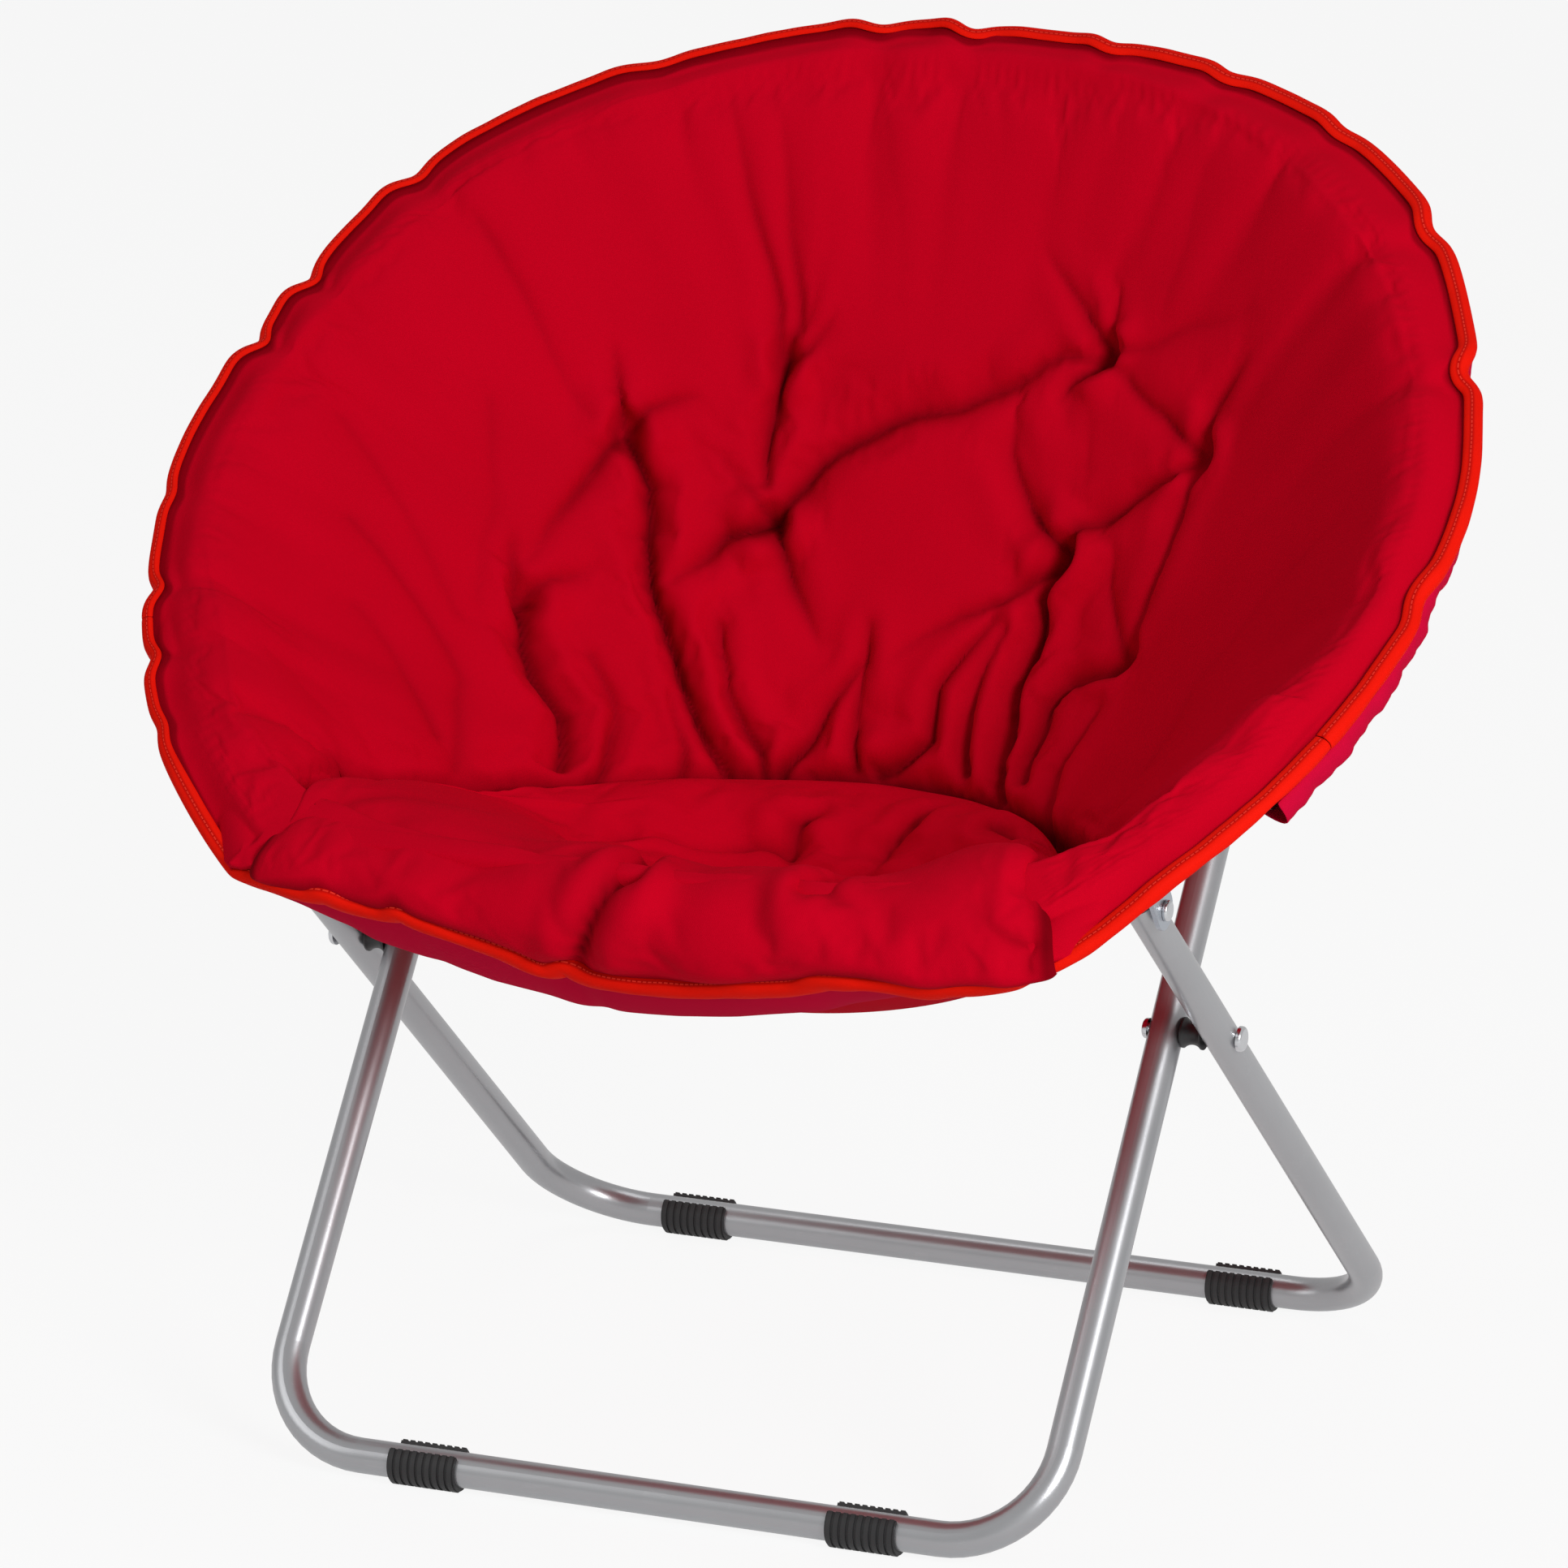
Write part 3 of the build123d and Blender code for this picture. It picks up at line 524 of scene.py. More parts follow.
@dataclass(frozen=True)
class ClothRun:
    """Settings of the cloth simulation that fills a cushion.

    The move of a point eases off towards cap millimetres.
    """

    pressure: float = 4.0
    cap: float = 9.0
    slack: float = 0.02
    last_frame: int = 20
    stiffness: float = 12.0
    shear: float = 4.0
    bending: float = 0.4
    damping: float = 2.0
    mass: float = 0.3
    quality: int = 5

    def fill(self, piece: Object, held: ndarray) -> None:
        """Blow a skin up between the places where it is held, and keep the result.

        Args:
            piece: the mesh to fill.
            held: how firmly each point is held, from 0 to 1.
        """
        rest = read_points(piece)
        group = piece.vertex_groups.new(name="held")
        for level in np.unique(np.round(held, 2)):
            found = np.nonzero(np.round(held, 2) == level)[0]
            group.add(found.tolist(), float(level), "REPLACE")
        cloth = piece.modifiers.new("fill", "CLOTH")
        set_all(
            cloth.settings, quality=self.quality, mass=self.mass, tension_stiffness=self.stiffness,
            compression_stiffness=self.stiffness, shear_stiffness=self.shear, bending_stiffness=self.bending,
            air_damping=self.damping, vertex_group_mass="held", pin_stiffness=1.0, shrink_min=-self.slack,
            shrink_max=-self.slack, use_pressure=True, uniform_pressure_force=self.pressure,
        )
        cloth.settings.effector_weights.gravity = 0.0
        set_all(cloth.collision_settings, use_collision=False, use_self_collision=False)
        set_all(cloth.point_cache, frame_start=1, frame_end=self.last_frame)
        scene = bpy.context.scene
        for number in range(1, self.last_frame + 1):
            scene.frame_set(number)
            bpy.context.view_layer.update()
        shown = piece.evaluated_get(bpy.context.evaluated_depsgraph_get())
        flat = np.empty(len(rest) * 3, np.float32)
        shown.data.vertices.foreach_get("co", flat)
        moved = RIM.rim(flat.reshape(-1, 3).astype(float)) - rest
        length = np.linalg.norm(moved, axis=1, keepdims=True)
        ease = self.cap * np.tanh(length / self.cap) / np.maximum(length, 1e-6)
        piece.modifiers.remove(cloth)
        piece.vertex_groups.remove(group)
        scene.frame_set(1)
        write_points(piece, rest + moved * ease)
        LOG.info("%s: filled, moved up to %.1f mm", piece.name, float(length.max()))


# ---------------------------------------------------------------- node groups
def new_group(name: str, inputs: dict[str, float], outputs: tuple[str, ...]) -> NodeTree:
    """Start a shader node group.

    Args:
        name: the group's name.
        inputs: number sockets and their first values.
        outputs: names of the number sockets it puts out.

    Returns:
        The empty group with its input and output nodes.
    """
    group = bpy.data.node_groups.new(name, "ShaderNodeTree")
    group.interface.new_socket("Vector", in_out="INPUT", socket_type="NodeSocketVector")
    for label, value in inputs.items():
        socket = group.interface.new_socket(label, in_out="INPUT", socket_type="NodeSocketFloat")
        socket.default_value = value
    for label in outputs:
        group.interface.new_socket(label, in_out="OUTPUT", socket_type="NodeSocketFloat")
    group.nodes.new("NodeGroupInput").name = "in"
    group.nodes.new("NodeGroupOutput").name = "out"
    return group


def feed(tree: NodeTree, node: Node, values: dict[str | int, object]) -> None:
    """Fill inputs of a node: a socket is linked, and any other value is set."""
    for key, value in values.items():
        if isinstance(value, NodeSocket):
            tree.links.new(value, node.inputs[key])
        else:
            node.inputs[key].default_value = value


def maths(tree: NodeTree, kind: str, first: object, second: object = 0.0, third: object = 0.0) -> NodeSocket:
    """Add a Math node whose inputs are sockets or numbers, and return its output."""
    node = tree.nodes.new("ShaderNodeMath")
    node.operation = kind
    feed(tree, node, dict(enumerate((first, second, third))))
    return node.outputs[0]


def noise(tree: NodeTree, vector: NodeSocket, scale: object, detail: float) -> NodeSocket:
    """Add a Noise texture on a vector and return its value."""
    node = tree.nodes.new("ShaderNodeTexNoise")
    feed(tree, node, {"Detail": detail, "Vector": vector, "Scale": scale})
    return node.outputs["Fac"]


def streaks(tree: NodeTree, vector: NodeSocket, scale: Triple, detail: float) -> NodeSocket:
    """Add a noise that is stretched by its own scale in each direction, and return its value."""
    node = tree.nodes.new("ShaderNodeMapping")
    feed(tree, node, {"Scale": scale, "Vector": vector})
    return noise(tree, node.outputs["Vector"], 1.0, detail)


def axes_of(tree: NodeTree, vector: NodeSocket) -> tuple[NodeSocket, ...]:
    """Split a vector into its three numbers."""
    node = tree.nodes.new("ShaderNodeSeparateXYZ")
    feed(tree, node, {0: vector})
    return tuple(node.outputs)


def weave_group() -> NodeTree:
    """Plain-woven polyester: crossed threads, thicker slubs and a slow change of tone."""
    group = new_group("plain_weave", {"Threads": 1100.0, "Slub": 0.5}, ("Height", "Tone"))
    given = group.nodes["in"].outputs
    along, across, _ = axes_of(group, given["Vector"])
    turns = (maths(group, "MULTIPLY", place, given["Threads"]) for place in (along, across))
    check = maths(group, "MULTIPLY", *(maths(group, "SINE", turn) for turn in turns))
    ways = ((260.0, 22.0, 40.0), (22.0, 260.0, 40.0))
    slubs = (streaks(group, given["Vector"], way, 3.0) for way in ways)
    slub = maths(group, "MULTIPLY", maths(group, "ADD", *slubs), given["Slub"])
    height = maths(group, "ADD", maths(group, "MULTIPLY", check, 0.25), slub)
    broad, fine = noise(group, given["Vector"], 9.0, 3.0), noise(group, given["Vector"], 420.0, 2.0)
    tone = maths(group, "ADD", maths(group, "MULTIPLY", broad, 0.7), maths(group, "MULTIPLY", fine, 0.3))
    feed(group, group.nodes["out"], {"Height": height, "Tone": tone})
    return group


def stitch_group() -> NodeTree:
    """Row of lock stitches along a tape: dashes at one distance from its edge, and a dent band round them
    that gives both a bump and painted shade.
    """
    group = new_group(
        "stitch_row", {"Pitch": 0.0035, "Place": 0.006, "Width": 0.0006}, ("Thread", "DentAndShade")
    )
    given = group.nodes["in"].outputs
    along, across, _ = axes_of(group, given["Vector"])
    off_row = maths(group, "ABSOLUTE", maths(group, "SUBTRACT", across, given["Place"]))
    near = maths(group, "DIVIDE", off_row, given["Width"])
    line = maths(group, "SUBTRACT", 1.0, maths(group, "MINIMUM", near, 1.0))
    turn = maths(group, "DIVIDE", along, given["Pitch"])
    dash = maths(group, "GREATER_THAN", maths(group, "FRACT", turn), 0.28)
    thread = maths(group, "MULTIPLY", line, dash)
    wide = maths(group, "MULTIPLY", near, 0.3)
    dent = maths(group, "SUBTRACT", 1.0, maths(group, "MINIMUM", wide, 1.0))
    feed(group, group.nodes["out"], {"Thread": thread, "DentAndShade": dent})
    return group


def wear_group() -> NodeTree:
    """Handling marks on metal and plastic: fine grain, smudges and thin scratches."""
    group = new_group("handling_wear", {"Grain": 900.0, "Smudge": 14.0}, ("Grain", "Smudge", "Scratch"))
    given = group.nodes["in"].outputs
    vector = given["Vector"]
    grain, smudge = noise(group, vector, given["Grain"], 2.0), noise(group, vector, given["Smudge"], 4.0)
    long = streaks(group, vector, (30.0, 420.0, 420.0), 1.0)
    off_line = maths(group, "ABSOLUTE", maths(group, "SUBTRACT", long, 0.5))
    thin = maths(group, "SUBTRACT", 1.0, maths(group, "MULTIPLY", off_line, 26.0))
    rare = maths(group, "GREATER_THAN", noise(group, vector, 55.0, 1.0), 0.62)
    scratch = maths(group, "MULTIPLY", maths(group, "MAXIMUM", thin, 0.0), rare)
    feed(group, group.nodes["out"], {"Grain": grain, "Smudge": smudge, "Scratch": scratch})
    return group


@dataclass
class GroupShelf:
    """Node groups that the finishes share, each built once."""

    made: dict[str, NodeTree] = field(default_factory=dict)

    def get(self, name: str) -> NodeTree:
        """Group of that name, built at its first use."""
        builders = {"weave": weave_group, "stitch": stitch_group, "wear": wear_group}
        if name not in self.made:
            self.made[name] = builders[name]()
        return self.made[name]


SHELF = GroupShelf()


def start_material(name: str) -> tuple[Material, NodeTree, Node]:
    """Make a node material and return it, its tree and its Principled shader."""
    material = bpy.data.materials.new(name)
    material.use_nodes = True
    return material, material.node_tree, material.node_tree.nodes["Principled BSDF"]


def use_group(tree: NodeTree, name: str, vector: NodeSocket, **values: float) -> Node:
    """Place a shared group in a material, fed with a vector and its own values."""
    node = tree.nodes.new("ShaderNodeGroup")
    node.node_tree = SHELF.get(name)
    feed(tree, node, {"Vector": vector, **values})
    return node


def colour_mix(tree: NodeTree, share: NodeSocket, low: object, high: object) -> NodeSocket:
    """Mix two colours by a value and return the colour."""
    node = tree.nodes.new("ShaderNodeMix")
    node.data_type = "RGBA"
    a, b = (v if isinstance(v, NodeSocket) else (*v, 1.0) for v in (low, high))
    feed(tree, node, {"Factor": share, 6: a, 7: b})  # 6 and 7 are the two colours
    return node.outputs[2]


def ranged(tree: NodeTree, value: NodeSocket, low: float, high: float) -> NodeSocket:
    """Stretch a value from 0..1 to low..high."""
    return maths(tree, "MULTIPLY_ADD", value, high - low, low)


def bump(tree: NodeTree, height: NodeSocket, strength: float, distance: float) -> NodeSocket:
    """Turn a height into a normal."""
    node = tree.nodes.new("ShaderNodeBump")
    feed(tree, node, {"Strength": strength, "Distance": distance, "Height": height})
    return node.outputs["Normal"]


@dataclass(frozen=True)
class ClothFinish:
    """Woven cloth: its light and dark tone, the colour of the painted shade in folds and stitch dents, and
    its sheen.
    """

    name: str
    light: Colour
    dark: Colour
    # colour of the painted shade in folds, at tufts, under the tape and in stitch dents
    fold: Colour
    sheen: float = 0.25
    roughness: float = 0.78
    stitched: bool = False
    thread: Colour = (0.8, 0.02, 0.01)

    def build(self) -> Material:
        """Make the material on the piece's own cloth map."""
        material, tree, shader = start_material(self.name)
        uv = tree.nodes.new("ShaderNodeUVMap")
        uv.uv_map = "cloth"
        weave = use_group(tree, "weave", uv.outputs["UV"], Threads=5200.0, Slub=0.6)
        colour = colour_mix(tree, weave.outputs["Tone"], self.dark, self.light)
        # painted shade: darken towards the fold colour where the fold attribute is high
        mask = tree.nodes.new("ShaderNodeAttribute")
        mask.attribute_name = "fold"
        colour = colour_mix(tree, mask.outputs["Fac"], colour, self.fold)
        height = weave.outputs["Height"]
        if self.stitched:
            row = use_group(tree, "stitch", uv.outputs["UV"])
            # painted shade in the dent round the stitches, towards the fold colour
            colour = colour_mix(tree, row.outputs["DentAndShade"], colour, self.fold)
            colour = colour_mix(tree, row.outputs["Thread"], colour, self.thread)
            lift = maths(tree, "MULTIPLY", row.outputs["Thread"], 2.0)
            dent = maths(tree, "MULTIPLY", row.outputs["DentAndShade"], -1.5)
            height = maths(tree, "ADD", height, maths(tree, "ADD", lift, dent))
        feed(tree, shader, {
            "Base Color": colour,
            "Roughness": ranged(tree, weave.outputs["Tone"], self.roughness - 0.08, self.roughness + 0.08),
            "Normal": bump(tree, height, 0.35, 0.0004),
            "Sheen Weight": self.sheen, "Sheen Roughness": 0.45, "Sheen Tint": (1.0, 0.05, 0.1, 1.0),
            "Specular IOR Level": 0.02,
        })
        return material


@dataclass(frozen=True)
class MetalFinish:
    """Painted or plated steel: its colour, how metallic and how rough it is."""

    name: str
    colour: Colour
    worn: Colour
    metallic: float = 0.9
    roughness: float = 0.34
    coat: float = 0.0
    grain: float = 900.0

    def build(self) -> Material:
        """Make the material on the object's own coordinates."""
        material, tree, shader = start_material(self.name)
        place = tree.nodes.new("ShaderNodeTexCoord")
        wear = use_group(tree, "wear", place.outputs["Object"], Grain=self.grain, Smudge=16.0)
        tone = maths(tree, "MULTIPLY", wear.outputs["Smudge"], 0.5)
        colour = colour_mix(tree, tone, self.colour, self.worn)
        colour = colour_mix(tree, maths(tree, "MULTIPLY", wear.outputs["Scratch"], 0.25), colour, self.worn)
        feed(tree, shader, {
            "Base Color": colour,
            "Roughness": ranged(tree, wear.outputs["Smudge"], self.roughness - 0.05, self.roughness + 0.07),
            "Normal": bump(tree, wear.outputs["Grain"], 0.12, 0.0002),
            "Metallic": self.metallic, "Coat Weight": self.coat, "Coat Roughness": 0.25,
        })
        return material


@dataclass(frozen=True)
class PlasticFinish:
    """Moulded black plastic or rubber with a fine spark texture and patches of dust."""

    name: str
    colour: Colour
    dusty: Colour
    roughness: float = 0.5
    grain: float = 1400.0

    def build(self) -> Material:
        """Make the material on the object's own coordinates."""
        material, tree, shader = start_material(self.name)
        place = tree.nodes.new("ShaderNodeTexCoord")
        wear = use_group(tree, "wear", place.outputs["Object"], Grain=self.grain, Smudge=40.0)
        colour = colour_mix(tree, wear.outputs["Smudge"], self.colour, self.dusty)
        feed(tree, shader, {
            "Base Color": colour,
            "Roughness": ranged(tree, wear.outputs["Grain"], self.roughness - 0.1, self.roughness + 0.1),
            "Normal": bump(tree, wear.outputs["Grain"], 0.3, 0.0003),
        })
        return material


# the fold colours are painted shade, for creases, tufts, the tape's edge and stitch dents
PAD_RED = ClothFinish(
    "pad_cloth", light=(0.66, 0.0003, 0.017), dark=(0.50, 0.0002, 0.011), fold=(0.10, 0.0, 0.002), sheen=0.03
)
SHELL_CRIMSON = ClothFinish(
    "shell_cloth", light=(0.66, 0.004, 0.045), dark=(0.50, 0.002, 0.03), fold=(0.2, 0.0, 0.01), sheen=0.05
)
TAPE_RED = ClothFinish(
    "tape_cloth", light=(0.93, 0.012, 0.004), dark=(0.75, 0.006, 0.002), fold=(0.42, 0.002, 0.002),
    sheen=0.0, roughness=0.6, stitched=True, thread=(0.95, 0.05, 0.03),
)
TUBE_SILVER = MetalFinish("tube_silver_paint", (0.40, 0.405, 0.42), (0.52, 0.525, 0.54), 0.8, 0.30, 0.15)
EAR_ZINC = MetalFinish("zinc_plate", (0.42, 0.46, 0.52), (0.60, 0.62, 0.66), 1.0, 0.26, 0.0, 500.0)
BRIGHT_STEEL = MetalFinish("bright_steel", (0.62, 0.63, 0.65), (0.78, 0.78, 0.8), 1.0, 0.2, 0.0, 700.0)
BLACK_PLASTIC = PlasticFinish("black_plastic", (0.012, 0.012, 0.014), (0.035, 0.034, 0.034), 0.45)
BLACK_RUBBER = PlasticFinish("black_rubber", (0.010, 0.010, 0.011), (0.03, 0.029, 0.03), 0.55, 1100.0)


# ---------------------------------------------------------------- the bowl
@dataclass
class Bowl:
    """Padded bowl of the cover: its lying skin, its folds and its underside.

    Each dip of a tuft has a depth, a radius and the power of its fall-off.
    """

    # inner edge of the bowl, seen square to the rim
    middle_t: float = -60.0
    inner_r: float = 386.0
    inner_r_loss: float = 20.0
    front_t: float = -297.0
    corner_power: float = 8.0
    # height of the lying skin: how deep it hangs, and how steeply at the sides, back and front
    rim_n: float = 19.0
    depth: float = 262.0
    side_power: float = 1.8
    back_power: float = 1.45
    front_power: float = 3.3
    crown_r: float = 400.0
    crown_lift: float = 1.5
    crown_bend: float = 0.0026
    # height of the skin and of the underside over the rim tubes and the hinge blocks
    tube_crown: float = 15.0
    tube_bend: float = 0.03
    tube_bend_loss: float = 0.013
    tube_ease: float = 4.5
    block_crown: float = 4.5
    tube_clear: float = 12.6
    outer_crown: float = 14.3
    outer_block: float = 4.0
    # points along a side of the grid that is simulated, and of the grid that is shown
    coarse_grid: int = 177
    fine_grid: int = 353
    cloth_ease: float = 1.15
    under_seat: float = 16.0
    ditch: float = 10.0
    # thickness of the padding, and the share of it that folds may use up
    edge_thick: float = 7.0
    middle_thick: float = 38.0
    least_thick: float = 4.0
    rim_thick: float = 5.0
    fold_share: float = 0.85
    # the bowl's end behind the front lip
    lip_t: float = -322.0
    lip_half: float = 275.0
    lip_n: float = 14.0
    lip_sag: float = 9.0
    slope_step: float = 2.0
    # line where the seat panel meets the back
    crease_half: float = 250.0
    crease_mid_t: float = -24.0
    crease_end_t: float = -195.0
    run: ClothRun = field(default_factory=lambda: ClothRun(4.5, 8.0, 0.025))
    folds: tuple[Crease, ...] = (
        Crease(((-110, 213), (-105, 235), (-115, 290), (-125, 345)), 6, 7),
        Crease(((-112, 213), (-120, 240), (-140, 285), (-162, 340)), 6, 7),
        Crease(((-109, 213), (-95, 220), (-78, 245)), 6, 6),
        Crease(((-109, 213), (-110, 185), (-110, 145)), 14, 6, 0.5),
        Crease(((-197, 142), (-205, 160), (-212, 190)), 8, 6),
        Crease(((-197, 142), (-208, 128), (-222, 102), (-232, 68), (-236, 36)), 9, 7),
        Crease(((-197, 142), (-185, 160), (-152, 176)), 8, 6),
        Crease(
            (
                (-197, 142), (-180, 118), (-178, 88), (-165, 60), (-150, 38), (-130, 8), (-113, -18),
                (-95, -38),
            ),
            18, 8, 0.8,
        ),
        Crease(((-104, 124), (-130, 110), (-142, 90), (-155, 72)), 13, 6, 0.2),
        Crease(
            ((-104, 124), (-75, 160), (-35, 185), (0, 200), (40, 210), (75, 225), (105, 229)), 11, 8, 0.5
        ),
        Crease(((-102, 122), (-85, 90), (-55, 52)), 10, 7),
        Crease(((-106, 125), (-122, 140), (-148, 152)), 5, 7),
        Crease(((-230, 20), (-240, 38), (-252, 62)), 7, 6),
        Crease(((-230, 20), (-225, -5), (-215, -25), (-195, -45), (-180, -88)), 16, 7, 0.8),
        Crease(((-230, 20), (-220, 40), (-198, 62)), 7, 6),
        Crease(((-190, 2), (-170, -30), (-160, -82)), 11, 6, 0.9, 0.3),
        Crease(((-120, 55), (-105, 15), (-80, -15), (-74, -32)), 14, 6, 0.9, 0.4),
        Crease(((-25, 72), (-25, 50), (-45, 10), (-65, -28)), 13, 6, 0.9, 0.3),
        Crease(((-25, 60), (-20, 15), (-20, -12)), 11, 6, 0.9, 0.3),
        Crease(((55, 78), (30, 40), (32, 10), (-5, -12)), 14, 6, 0.9, 0.4),
        Crease(((65, 72), (55, 25), (60, -12)), 11, 6, 0.9, 0.3),
        Crease(((95, 118), (60, 90), (30, 85), (0, 65), (-12, 48)), 9, 7),
        Crease(((95, 118), (70, 145), (55, 175), (48, 205)), 10, 8),
        Crease(((95, 118), (105, 135), (135, 145), (165, 155), (188, 158)), 9, 7, 0.6),
        Crease(((95, 118), (85, 95), (85, 70), (85, 35), (85, -30)), 15, 7, 0.8),
        Crease(((188, 158), (160, 190), (125, 215), (108, 228)), 7, 7, 0.4),
        Crease(((188, 158), (198, 185), (222, 208)), 8, 6),
        Crease(((105, 229), (85, 255), (58, 284)), 8, 6),
        Crease(((105, 229), (110, 245), (116, 268)), 6, 6),
        Crease(((105, 229), (155, 232), (232, 230)), 4, 9),
        Crease(((105, 229), (90, 215), (78, 198)), 11, 6),
        Crease(((155, 50), (135, 95), (128, 122)), 6, 7),
        Crease(((155, 50), (120, 45), (110, 30), (105, -22)), 10, 6, 0.8),
        Crease(((188, 158), (178, 118), (158, 52)), 6, 7, 0.6),
        Crease(((150, 20), (132, -20), (128, -60)), 10, 6, 0.8, 0.3),
        Crease(((-140, 0), (-128, -30), (-122, -50)), 10, 6, 0.9, 0.2),
        Crease(((-300, 215), (-265, 185), (-222, 145)), 5.5, 13, 0.3, 0.5),
        Crease(((-325, 0), (-285, -30), (-250, -65), (-218, -132)), 6.5, 12, 0.6, 0.4),
        Crease(((-280, 120), (-262, 60), (-255, 0)), 4.5, 13, 0.3, 0.4),
        Crease(((-310, -60), (-275, -85), (-235, -120)), 5.5, 11, 0.7, 0.3),
        Crease(((-345, 60), (-300, 20), (-262, -20)), 4.5, 13, 0.4, 0.4),
        Crease(((-60, 345), (-40, 300), (-38, 250)), 2.0, 16, 0.3, 0.4),
        Crease(((180, 330), (165, 280), (150, 245)), 2.5, 14, 0.4, 0.3),
        Crease(((330, 60), (280, 40), (235, 0), (215, -60)), 2.5, 15, 0.5, 0.3),
    )
    tufts: Pairs = (
        (-109, 213), (-197, 142), (-104, 124), (-230, 20), (105, 229), (188, 158), (95, 118), (155, 50),
    )
    tuft_dips: Triples = ((3.0, 9.0, 1.4), (11.0, 42.0, 1.5))
    # painted shade at a tuft: its strength and its radius in millimetres
    tuft_shade: tuple[float, float] = (0.8, 5.0)
    gather_depth: float = 0.40
    gather_bank: float = 0.25

    def reach(self, dx: ndarray, dt: ndarray) -> ndarray:
        """Distance from the bowl's middle to its inner edge along unit directions."""
        b = self.middle_t * dt
        inner = self.inner_r - self.inner_r_loss * smoothstep(0.02, -0.27, dt)
        side = -b + np.sqrt(b * b - (self.middle_t**2 - inner**2))
        front = np.maximum((self.front_t - self.middle_t) / np.minimum(dt, -1e-6), 1.0)
        return (side**-self.corner_power + front**-self.corner_power) ** (-1 / self.corner_power)

    def crease_t(self, x: ndarray) -> ndarray:
        """Where the seat panel meets the back at x."""
        place = np.clip(np.abs(x) / self.crease_half, 0, 1)
        return self.crease_mid_t + (self.crease_end_t - self.crease_mid_t) * place**2.1

    def shares(self, x: ndarray, t: ndarray) -> tuple[ndarray, ...]:
        """Share of the way to the inner edge and the direction from the bowl's middle."""
        dx, dt = x, t - self.middle_t
        r = np.hypot(dx, dt) + 1e-9
        return r / self.reach(dx / r, dt / r), dx / r, dt / r

    def lying(self, x: ndarray, t: ndarray) -> ndarray:
        """Height of the plain lying skin, before folds."""
        rho, _, ct = self.shares(x, t)
        up, down = np.clip(ct, 0, 1) ** 2, np.clip(-ct, 0, 1) ** 2
        power = self.side_power * (1 - up - down) + self.back_power * up + self.front_power * down
        inside = self.rim_n - self.depth * (1 - np.clip(rho, 0, 1) ** power)
        beyond = np.clip(rho, 1, 1.2) * self.inner_r - self.crown_r
        over = self.rim_n + self.crown_lift - self.crown_bend * beyond**2
        blend = smoothstep(0.985, 1.03, rho)
        plain = inside * (1 - blend) + over * blend
        bend = self.tube_bend - self.tube_bend_loss * smoothstep(-100, -200, t)
        crown = self.tube_crown + self.block_crown * HOOPS.block(x, t) - bend * HOOPS.distance(x, t) ** 2
        return soft_max(plain, np.maximum(crown, DEEP), self.tube_ease)

    def padding(self, x: ndarray, t: ndarray) -> ndarray:
        """Thickness of the padding, measured square to the rim."""
        rho, _, _ = self.shares(x, t)
        body = 1 - np.clip(rho, 0, 1) ** 3.2
        return self.edge_thick + (self.middle_thick - self.edge_thick) * body

    def underside(self, x: ndarray, t: ndarray, top: ndarray) -> ndarray:
        """Height of the shell under the padding."""
        clear = self.tube_clear - self.tube_bend * HOOPS.distance(x, t) ** 2
        low = soft_max(self.lying(x, t) - self.padding(x, t), np.maximum(clear, DEEP), 0.8)
        return np.minimum(low, top - self.least_thick)

    def carve(self, x: ndarray, t: ndarray) -> tuple[ndarray, ndarray]:
        """Drop of the skin by its folds and tufts, and the painted shade in the folds and at the tufts."""
        # the folds wander a little, so that none of them is a straight line
        warp_x = x + 2.5 * np.sin(t / 23.0 + 0.4) + 1.0 * np.sin(t / 9.0 + x / 31.0)
        warp_t = t + 2.5 * np.sin(x / 19.0 + 1.1) + 1.0 * np.sin(x / 8.0 + t / 27.0)
        drop, mask = folded(self.folds, warp_x, warp_t)
        for cx, ct in self.tufts:
            gap = np.hypot(x - cx, t - ct)
            for depth, radius, power in self.tuft_dips:
                drop = drop + depth * np.exp(-((gap / radius) ** power))
            # painted shade at the middle of each tuft
            mask = np.maximum(mask, self.tuft_shade[0] * bell(gap, 0.0, self.tuft_shade[1]))
        # no fold is deeper than the padding allows
        room = self.fold_share * self.padding(x, t) * self.slope(x, t)[..., 2]
        return room * np.tanh(drop / room), mask

    def ripple(self, x: ndarray, t: ndarray) -> ndarray:
        """Slow unevenness of the padding and gathers that run in from the rim."""
        rho, _, _ = self.shares(x, t)
        angle = rim_angle(x, t)
        rng = np.random.default_rng(11)
        out = unevenness(rng, 26, (55, 190), 900, x, t)
        gathers = np.zeros(x.shape)
        for middle, width, height in OUTLINE.notches:
            lean = angle - middle - 5 * (1 - rho)
            gathers = gathers - self.gather_depth * height * bell(lean, 0.0, 1.3 * width)
            gathers = gathers + self.gather_bank * height * bell(lean, 3.2 * width, 1.9 * width)
        gathers = gathers * smoothstep(0.62, 0.97, rho)
        fine = np.zeros(x.shape)
        for count in (23, 37, 51):
            fine = fine + np.sin(np.radians(angle) * count + rng.uniform(0, FULL_TURN)) / count * 16
        edge = smoothstep(0.72, 0.95, rho) * (1 - smoothstep(1.0, 1.06, rho))
        return out * (1 - 0.4 * smoothstep(0.8, 1, rho)) + gathers + fine * edge

    def skin(self, grid: int) -> tuple[ndarray, ndarray, ndarray, ndarray]:
        """Square grid of the lying skin.

        Args:
            grid: number of points along a side.

        Returns:
            Points of the top, points of the underside, the painted shade mask and how firmly points are held.
        """
        # a square grid turned into a disc: share is 1 at the cover's outline
        side = np.linspace(-1, 1, grid)
        u, v = np.meshgrid(side, side)
        px, pt = u * np.sqrt(1 - v**2 / 2), v * np.sqrt(1 - u**2 / 2)
        share = np.hypot(px, pt)
        angle = rim_angle(px, pt)
        edge = self.edge_points(angle)
        spread = share**1.04
        x = spread * edge[..., 0]
        t = self.middle_t + spread * (edge[..., 1] - self.middle_t)
